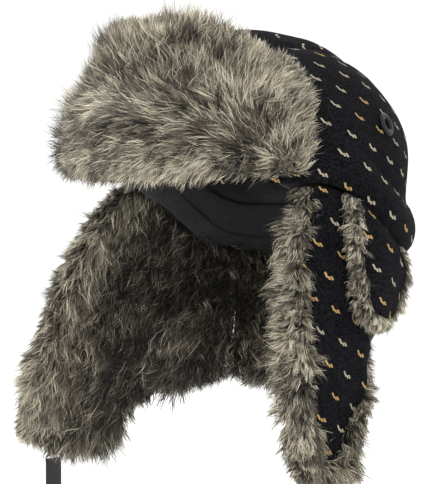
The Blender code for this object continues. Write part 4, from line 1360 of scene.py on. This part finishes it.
def flap_gore():
    """Strip of pile that fills the angle between the flap that stands out and the curtain."""
    w, v = grid(steps(0, 1, 12), steps(0, 1, 50))
    phi = 2 * math.pi - SEAM - (SEAM_GAP - 0.004) / CROWN_HALF_WIDTH + 0 * w
    hem = hem_at(phi)
    z = mix(hem - HEM_GAP, CURTAIN_CORNER_Z + 0.012, v)
    nape = nape_point(phi + 0.05, z, -0.0098 + 0 * w)
    flap = curtain_point("right", nape_point(phi, z, 0 * w)[..., 1] - 0.010, z, -0.0085 + 0 * w)
    middle = mix(nape, flap, w[..., None])
    out = face_out(middle, 1)
    out = out * np.sign((out * middle * np.array([1, 1, 0])).sum(-1).mean())
    half = out * GORE_HALF
    slab("flap_gore_pile_right", middle + half, middle - half, "dense underfur", "nape_curtain")
    # Painted shade: the gore's hair, on the inside of the hat, is darkened; the ripple gives random tone.
    tone = -0.30 + 0.08 * ripple(middle, 87, 0.03)
    inner = root_sheet(middle - half, 1, straight_down, 0.014, 1.0, 0.78, tone)
    inner["out"] = -out
    strands("flap_gore_hair_right", "nape_curtain", [inner], GORE_HAIRS, "flap hair", 450, curl=0.13)


def nape_chart(margin, tuck=0.0):
    """Shares across and down the nape curtain, heading and height, and metres from its lower edge."""
    start = SEAM + (SEAM_GAP - tuck) / CROWN_HALF_WIDTH
    uu, vv = grid(steps(0, 1, 90), steps(0, 1, 50))
    phi = mix(start, 2 * math.pi - start, uu)
    bottom = CURTAIN_CORNER_Z - NAPE_BOTTOM_BULGE * np.sin(math.pi * uu) + margin
    z = mix(hem_at(phi) - HEM_GAP, bottom, vv)
    return uu, vv, phi, z, np.maximum(z - bottom, 0)


def nape_curtain():
    """Knit, pile and hair of the curtain behind the neck."""
    uu, vv, phi, z, edge = nape_chart(0.012)
    flat = nape_point(phi, z, 0 * z)
    side_edge = np.minimum(np.minimum(uu, 1 - uu) * 0.16, edge)
    height = puff(flat, side_edge, 0.0024, 0.0012, 81, 0.0010) * ease(vv / 0.08)
    outer = nape_point(phi, z, height)
    bound = ease((0.0045 - np.minimum(uu, 1 - uu) * 0.20) / 0.0035)
    inner = nape_point(phi, z, mix(np.minimum(height, 0) * 0.5 - KNIT, LAYERS, bound))
    finish = "flap knit"
    uv = np.stack([(phi - math.pi) * 0.09, z], -1)
    ob = slab("nape_cloth", outer, inner, finish, "nape_curtain", uv=uv)
    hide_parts("nape_shell")

    uu, vv, phi, z, edge = nape_chart(PILE_INSET, PILE_TUCK)
    round_off = rounded(edge, PILE_ROUND)
    under = ease((edge - 0.006) / 0.004)
    outer = nape_point(phi, z, mix(mix(PILE_RIM_OUT, 0.0010, round_off), FUR_OUT, under))
    inner = nape_point(phi, z, mix(PILE_RIM_IN, PILE_IN, round_off))
    skin = slab("nape_pile", outer, inner, "dense underfur", "nape_curtain")
    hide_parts("nape_fur")

    # Painted shade: the hair inside the curtain is darkened, and its rim hair is made paler; the ripple gives
    # random tone.
    tone = -0.26 + 0.08 * ripple(inner, 83, 0.035)
    lining = root_sheet(inner, 1, straight_down, mix(0.011, 0.016, ease(vv / 0.2)), 1.0,
                        mix(0.60, 0.80, ease(edge / 0.012)), tone)
    rim = root_sheet(outer, -1, straight_down, 0.017, (edge < 0.007) * 2.0, 0.7, tone + 0.24)
    strands("nape_hair", "nape_curtain", [lining, rim], NAPE_HAIRS, "flap hair", 400, curl=0.13)


def side_flap(side):
    """Short U-shaped flap: knit face, pile behind it, and hair that rims it."""
    uu, vv = grid(steps(0, 1, 44), steps(0, 1, 56))
    width = SIDE_FLAP_REAR_Y - SIDE_FLAP_FRONT_Y
    body = "side_flap_" + side

    margin = SIDE_FLAP_MARGIN - 0.0005
    u = mix(margin / width, 1 - margin / width, uu)
    v = vv * (1 - margin / SIDE_FLAP_HEIGHT)
    edge = np.minimum(np.minimum(uu, 1 - uu) * (width - 2 * margin), (1 - vv) * 0.065)
    flat = side_flap_point(side, u, v, SIDE_PILE_OUT + 0 * u)
    lift = puff(flat, edge, 0.0020, 0.0010, 91, 0.0008) * ease(vv / 0.15)
    outer = side_flap_point(side, u, v, SIDE_CLOTH_OUT + lift)
    inner = flat
    finish = "flap knit"
    y, z = side_flap_spot(u, v)
    ob = slab("side_flap_cloth_" + side, outer, inner, finish, body, uv=np.stack([y, z], -1))
    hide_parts("side_flap_shell_" + side)

    inset = 0.006
    u = mix(inset / width, 1 - inset / width, uu)
    v = vv * (1 - inset / SIDE_FLAP_HEIGHT)
    edge = np.minimum(np.minimum(uu, 1 - uu) * (width - 2 * inset), (1 - vv) * SIDE_FLAP_HEIGHT)
    round_off = rounded(edge, 0.006)
    under = ease((edge - 0.0045) / 0.003)
    outer = side_flap_point(side, u, v, mix(mix(0.003, SIDE_PILE_OUT, round_off), 0.0058, under))
    inner = side_flap_point(side, u, v, mix(0.002, 0.0005, round_off))
    skin = slab("side_flap_pile_" + side, outer, inner, "dense underfur", body)
    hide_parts("side_flap_fur_" + side)
    away = (ease((0.25 - uu) / 0.25) * -1 + ease((uu - 0.75) / 0.25))[..., None]

    def comb(across, down, out):
        return down * 0.8 + across * away * 0.7

    sign = -SIDES[side]
    tone = 0.10 + 0.09 * ripple(outer, 93, 0.025)
    rim = root_sheet(outer, sign, comb, 0.0078 + 0 * u, (edge < 0.0050) * 3.0, 0.66, tone)
    # Painted shade: the hair on the flap's back, facing the ear flap, is darker than the hair on its rim.
    back = root_sheet(inner, -sign, comb, 0.009 + 0 * u, 1.0 * (edge < 0.02), 0.86, tone - 0.1)
    strands("side_flap_hair_" + side, body, [rim, back], SIDE_FLAP_HAIRS, "flap hair",
            SIDE_FLAP_SEED[side], curl=0.12, wild=0.8, clump_size=0.0022, lock_size=0.008)


# Straps and plain parts ---------------------------------------------------------------


def webbing_path(points, width, thick, across):
    """Flat webbing carried along a line: a rounded oblong at each of its points."""
    along = unit(np.gradient(points, axis=0))
    across = unit(np.broadcast_to(across, along.shape))
    out = unit(np.cross(along, across))
    angle = headings(28)
    c, s = np.cos(angle), np.sin(angle)
    x = np.sign(c) * np.abs(c) ** 0.35 * width / 2
    y = np.sign(s) * np.abs(s) ** 0.55 * thick / 2
    ring = points[None] + across[None] * x[:, None, None] + out[None] * y[:, None, None]
    length = np.concatenate([[0], np.cumsum(np.linalg.norm(np.diff(points, axis=0), axis=-1))])
    uv = np.stack(np.broadcast_arrays(x[:, None], length[None]), -1)
    return ring, uv


def tube(name, ring, uv, finish, body):
    """Close rings of points, carried along a line, into one solid with flat ends."""
    rows, columns = ring.shape[:2]
    faces = grid_faces(rows, columns, True).tolist()
    index = np.arange(rows * columns).reshape(rows, columns)
    faces += [index[:, 0].tolist(), index[::-1, -1].tolist()]
    mesh = bpy.data.meshes.new(name)
    mesh.from_pydata(ring.reshape(-1, 3), [], faces)
    lay_cloth_map(mesh, uv.reshape(-1, 2))
    face_outward(mesh)
    mesh.set_sharp_from_angle(angle=math.radians(50))
    return add_object(name, mesh, finish, body)


FOLD_THICKNESS = 0.0013
BAR_RADIUS = 0.0016


def dress(ob, finish):
    """Give an object that keeps its own shape a finish."""
    ob.data.materials.clear()
    ob.data.materials.append(material(finish))


def chin_straps():
    """Webbing that hangs from each ear flap, turned through its half of the buckle."""
    finish = "black webbing"
    holders = {"left": "buckle_socket", "right": "buckle_plug"}
    for side in SIDES:
        low, high = (np.array(corner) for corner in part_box("chin_strap_" + side))
        middle = (low + high) / 2
        width, thick, length = high[1] - low[1], high[0] - low[0], high[2] - low[2]
        body = "strap_" + side
        z = np.linspace(high[2], low[2], 60)
        line = vec(middle[0] + 0 * z, middle[1] + 0 * z, z)
        ring, uv = webbing_path(line, width, thick, np.array([0, 1.0, 0]))
        strap = tube("strap_webbing_" + side, ring, uv, finish, body)
        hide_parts("chin_strap_" + side)
        turn = np.linspace(0, math.pi, 14)
        bar = BAR_RADIUS
        drop = low[2] - 0.0046
        front = vec(middle[0] + 0 * z[:8], middle[1] + 0 * z[:8], np.linspace(low[2] + 0.0002, drop, 8))
        bend = vec(middle[0] + bar - bar * np.cos(turn), middle[1] + 0 * turn, drop - bar * np.sin(turn))
        climb = np.linspace(0, 1, 24)
        aside = mix(2 * bar, (thick + FOLD_THICKNESS) / 2, ease((climb - 0.10) / 0.22))
        back = vec(middle[0] + aside, middle[1] + 0 * climb, mix(drop, low[2] + 0.030, climb))
        path = np.concatenate([front, bend[1:-1], back])
        ring, uv = webbing_path(path, width * 0.98, FOLD_THICKNESS, np.array([0, 1.0, 0]))
        turned_up = tube("strap_fold_" + side, ring, uv, finish, body)
        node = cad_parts[holders[side]]
        dress(node, "moulded plastic")


PLAIN_PARTS = {
    "charcoal wadding": ("crown_wadding", "ear_flap_wadding_left", "ear_flap_wadding_right", "nape_wadding"),
    "interfacing": ("visor_stiffener",),
    "closing tape": ("visor_hook_tape", "crown_loop_tape"),
    "black lacquer": ("eyelet_washer_left", "eyelet_washer_right"),
}


def dress_plain_parts():
    """Give each part that keeps its own shape its finish."""
    for finish, nodes in PLAIN_PARTS.items():
        for node in nodes:
            dress(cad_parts[node], finish)


# Stage ----------------------------------------------------------------------------------


FLOOR_REACH = 6.0
FLOOR_BEND = 2.5
FLOOR_WALL_TOP = 5.0
LAMPS = (
    ("key", (-0.9, -1.7, 1.5), 1.4, 30.0),
    ("near side", (1.9, -0.5, 0.7), 1.2, 12.0),
    ("behind", (-0.8, 1.7, 1.2), 1.0, 8.0),
)
LAMP_AIM = (0, 0, -0.06)


def studio():
    """Pale floor that sweeps up all round, soft lights, and the camera."""
    look = bpy.context.scene.hat_stage
    ground = CAD_BOX[0][2]
    bend = np.linspace(0.15, math.pi / 2, 12)
    wall = FLOOR_REACH + FLOOR_BEND
    reach = np.concatenate([np.linspace(0, FLOOR_REACH, 12), FLOOR_REACH + FLOOR_BEND * np.sin(bend), [wall]])
    rise = np.concatenate([np.zeros(12), FLOOR_BEND * (1 - np.cos(bend)), [FLOOR_WALL_TOP]])
    angle, k = grid(headings(96), np.arange(len(reach)))
    k = k.astype(int)
    points = vec(reach[k] * np.cos(angle), reach[k] * np.sin(angle), ground + rise[k])
    mesh = bpy.data.meshes.new("studio_floor")
    mesh.from_pydata(points.reshape(-1, 3), [], grid_faces(96, len(reach), True).tolist())
    face_outward(mesh, merge=True, closed=False)
    floor = add_object("studio_floor", mesh, "pale floor")

    world = bpy.data.worlds.new("soft surround")
    bpy.context.scene.world = world
    world.use_nodes = True
    background = world.node_tree.nodes["Background"]
    background.inputs["Color"].default_value = (1, 1, 1, 1)
    background.inputs["Strength"].default_value = look.surround
    for name, spot, size, power in LAMPS:
        lamp = bpy.data.lights.new(name, "AREA")
        lamp.shape, lamp.size, lamp.energy = "DISK", size, power * look.lamps
        ob = bpy.data.objects.new(name, lamp)
        ob.location = spot
        ob.rotation_euler = direction(np.array(spot) - np.array(LAMP_AIM))
        collection("studio").objects.link(ob)

    # The camera looks from its bearing at a point a little to the side of the hat's middle.
    bearing, climb = math.radians(look.bearing), math.radians(look.climb)
    level = math.cos(climb)
    back = np.array([math.sin(bearing) * level, -math.cos(bearing) * level, math.sin(climb)])
    right = np.array([math.cos(bearing), math.sin(bearing), 0])
    target = np.array([0, 0, look.aim_height]) - right * look.aim_left
    camera = bpy.data.cameras.new("camera")
    camera.lens = 18 / (look.half_view / look.distance)
    camera.sensor_width = 36
    ob = bpy.data.objects.new("camera", camera)
    ob.location = target + back * look.distance
    ob.rotation_euler = direction(back)
    collection("studio").objects.link(ob)
    bpy.context.scene.camera = ob
    bpy.context.scene.view_settings.view_transform = "Standard"


def direction(back):
    """Euler angles of a lamp or camera whose back points along a vector."""
    x, y, z = back / np.linalg.norm(back)
    return (math.acos(z), 0, math.atan2(x, -y))


# Settings, operators and panel -------------------------------------------------------------


def colour(name, text, value):
    """A colour that can be set in the panel."""
    return FloatVectorProperty(name=name, description=text, default=value, subtype="COLOR", min=0, max=1)


def number(name, text, value, **limits):
    """A number that can be set in the panel."""
    return FloatProperty(name=name, description=text, default=value, **limits)


class HatKnit(bpy.types.PropertyGroup):
    """Sizes and colours of the knit."""

    stitch: number("Stitch", "Width of one knit column", 0.0015, unit="LENGTH")
    # The knit's colour runs from the dark yarn to the light: the stitch relief puts the dark between the
    # stitches as painted shade and the light on their tops as painted highlight.
    dark: colour("Dark yarn", "Colour between the stitches", (0.0022, 0.0022, 0.0030))
    light: colour("Light yarn", "Colour on top of the stitches", (0.024, 0.024, 0.029))
    cream: colour("Cream fleck", "Colour of the paler flecks", (0.62, 0.55, 0.40))
    gold: colour("Gold fleck", "Colour of the warmer flecks", (0.70, 0.44, 0.15))


class HatFur(bpy.types.PropertyGroup):
    """Amount, length and colours of the fur."""

    density: number("Density", "Share of the full number of hairs", 1.0, min=0.05)
    length: number("Length", "Share of the full length", 1.0, min=0.3)
    thickness: number("Thickness", "Share of the full thickness", 1.0, min=0.3)
    tone: number("Tone", "Shift toward pale or dark hair", 0.0, min=-0.5, max=0.5)
    dark: colour("Dark", "Darkest hair and the tips of guard hairs", (0.010, 0.008, 0.007))
    brown: colour("Brown", "Dark hair", (0.070, 0.056, 0.042))
    taupe: colour("Taupe", "Middle hair", (0.200, 0.168, 0.130))
    khaki: colour("Khaki", "Light hair", (0.400, 0.365, 0.255))
    cream: colour("Cream", "Palest hair", (0.720, 0.670, 0.520))


class HatStage(bpy.types.PropertyGroup):
    """Camera and lights."""

    bearing: number("Bearing", "Degrees from the front toward the wearer's left", 45)
    climb: number("Climb", "Degrees above the horizon", 3)
    distance: number("Distance", "Camera to hat", 1.3, unit="LENGTH")
    half_view: number("Half view", "Half the height seen", 0.1694, unit="LENGTH")
    aim_height: number("Aim height", "Height aimed at", -0.043, unit="LENGTH")
    aim_left: number("Aim left", "Aim beside the middle", 0.0308, unit="LENGTH")
    surround: number("Surround", "Strength of the surrounding light", 1.25)
    lamps: number("Lamps", "Share of the lamps' full power", 1.0)


class HatOperator:
    """What each of the hat's operators shares."""

    bl_options = {"REGISTER", "UNDO"}

    def execute(self, context):
        self.make()
        return {"FINISHED"}


class HAT_OT_stage(HatOperator, bpy.types.Operator):
    """Add the floor, the lights and the camera"""

    bl_idname = "hat.stage"
    bl_label = "Stage"

    def make(self):
        studio()


class HAT_OT_straps(HatOperator, bpy.types.Operator):
    """Add the chin straps and finish the buckle"""

    bl_idname = "hat.straps"
    bl_label = "Chin Straps"

    def make(self):
        chin_straps()


class HAT_OT_crown(HatOperator, bpy.types.Operator):
    """Add the crown's knit panels, lining, sweatband, seam tape and eyelets"""

    bl_idname = "hat.crown"
    bl_label = "Crown"

    def make(self):
        for side in SIDES:
            crown_side_panel(side)
        crown_top()
        crown_lining()
        sweatband()
        seam_tape()
        vent_eyelets()


class HAT_OT_visor(HatOperator, bpy.types.Operator):
    """Add the visor's knit back and its fur"""

    bl_idname = "hat.visor"
    bl_label = "Visor"

    def make(self):
        visor_back()
        visor_fur()


class HAT_OT_ear_flaps(HatOperator, bpy.types.Operator):
    """Add both ear flaps, and what closes the gaps beside the right one"""

    bl_idname = "hat.ear_flaps"
    bl_label = "Ear Flaps"

    def make(self):
        for side in SIDES:
            flap_shell(side)
            flap_fur(side)
        flap_gusset()
        flap_gore()


class HAT_OT_nape(HatOperator, bpy.types.Operator):
    """Add the nape curtain"""

    bl_idname = "hat.nape"
    bl_label = "Nape Curtain"

    def make(self):
        nape_curtain()


class HAT_OT_side_flaps(HatOperator, bpy.types.Operator):
    """Add both side flaps"""

    bl_idname = "hat.side_flaps"
    bl_label = "Side Flaps"

    def make(self):
        for side in SIDES:
            side_flap(side)


class HAT_OT_plain_parts(HatOperator, bpy.types.Operator):
    """Finish the wadding, stiffener, tapes and washers"""

    bl_idname = "hat.plain_parts"
    bl_label = "Plain Parts"

    def make(self):
        dress_plain_parts()


OPERATORS = (HAT_OT_stage, HAT_OT_straps, HAT_OT_crown, HAT_OT_visor, HAT_OT_ear_flaps, HAT_OT_nape,
             HAT_OT_side_flaps, HAT_OT_plain_parts)
GROUPS = {"hat_knit": HatKnit, "hat_fur": HatFur, "hat_stage": HatStage}


class HAT_PT_panel(bpy.types.Panel):
    """Settings and operators of the hat"""

    bl_label = "Trapper Hat"
    bl_space_type = "VIEW_3D"
    bl_region_type = "UI"
    bl_category = "Trapper Hat"

    def draw(self, context):
        for operator in OPERATORS:
            self.layout.operator(operator.bl_idname)
        for group, kind in GROUPS.items():
            box = self.layout.box()
            for key in kind.__annotations__:
                box.prop(getattr(context.scene, group), key)


def register():
    """Add the panel, the operators and the settings."""
    for kind in (*GROUPS.values(), *OPERATORS, HAT_PT_panel):
        bpy.utils.register_class(kind)
    for name, kind in GROUPS.items():
        setattr(bpy.types.Scene, name, bpy.props.PointerProperty(type=kind))


def unregister():
    """Take them away again."""
    for name in GROUPS:
        delattr(bpy.types.Scene, name)
    for kind in reversed((*GROUPS.values(), *OPERATORS, HAT_PT_panel)):
        bpy.utils.unregister_class(kind)


def main():
    """Register the add-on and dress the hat."""
    register()
    for operator in OPERATORS:
        section, name = operator.bl_idname.split(".")
        getattr(getattr(bpy.ops, section), name)()


if __name__ == "__main__":
    main()
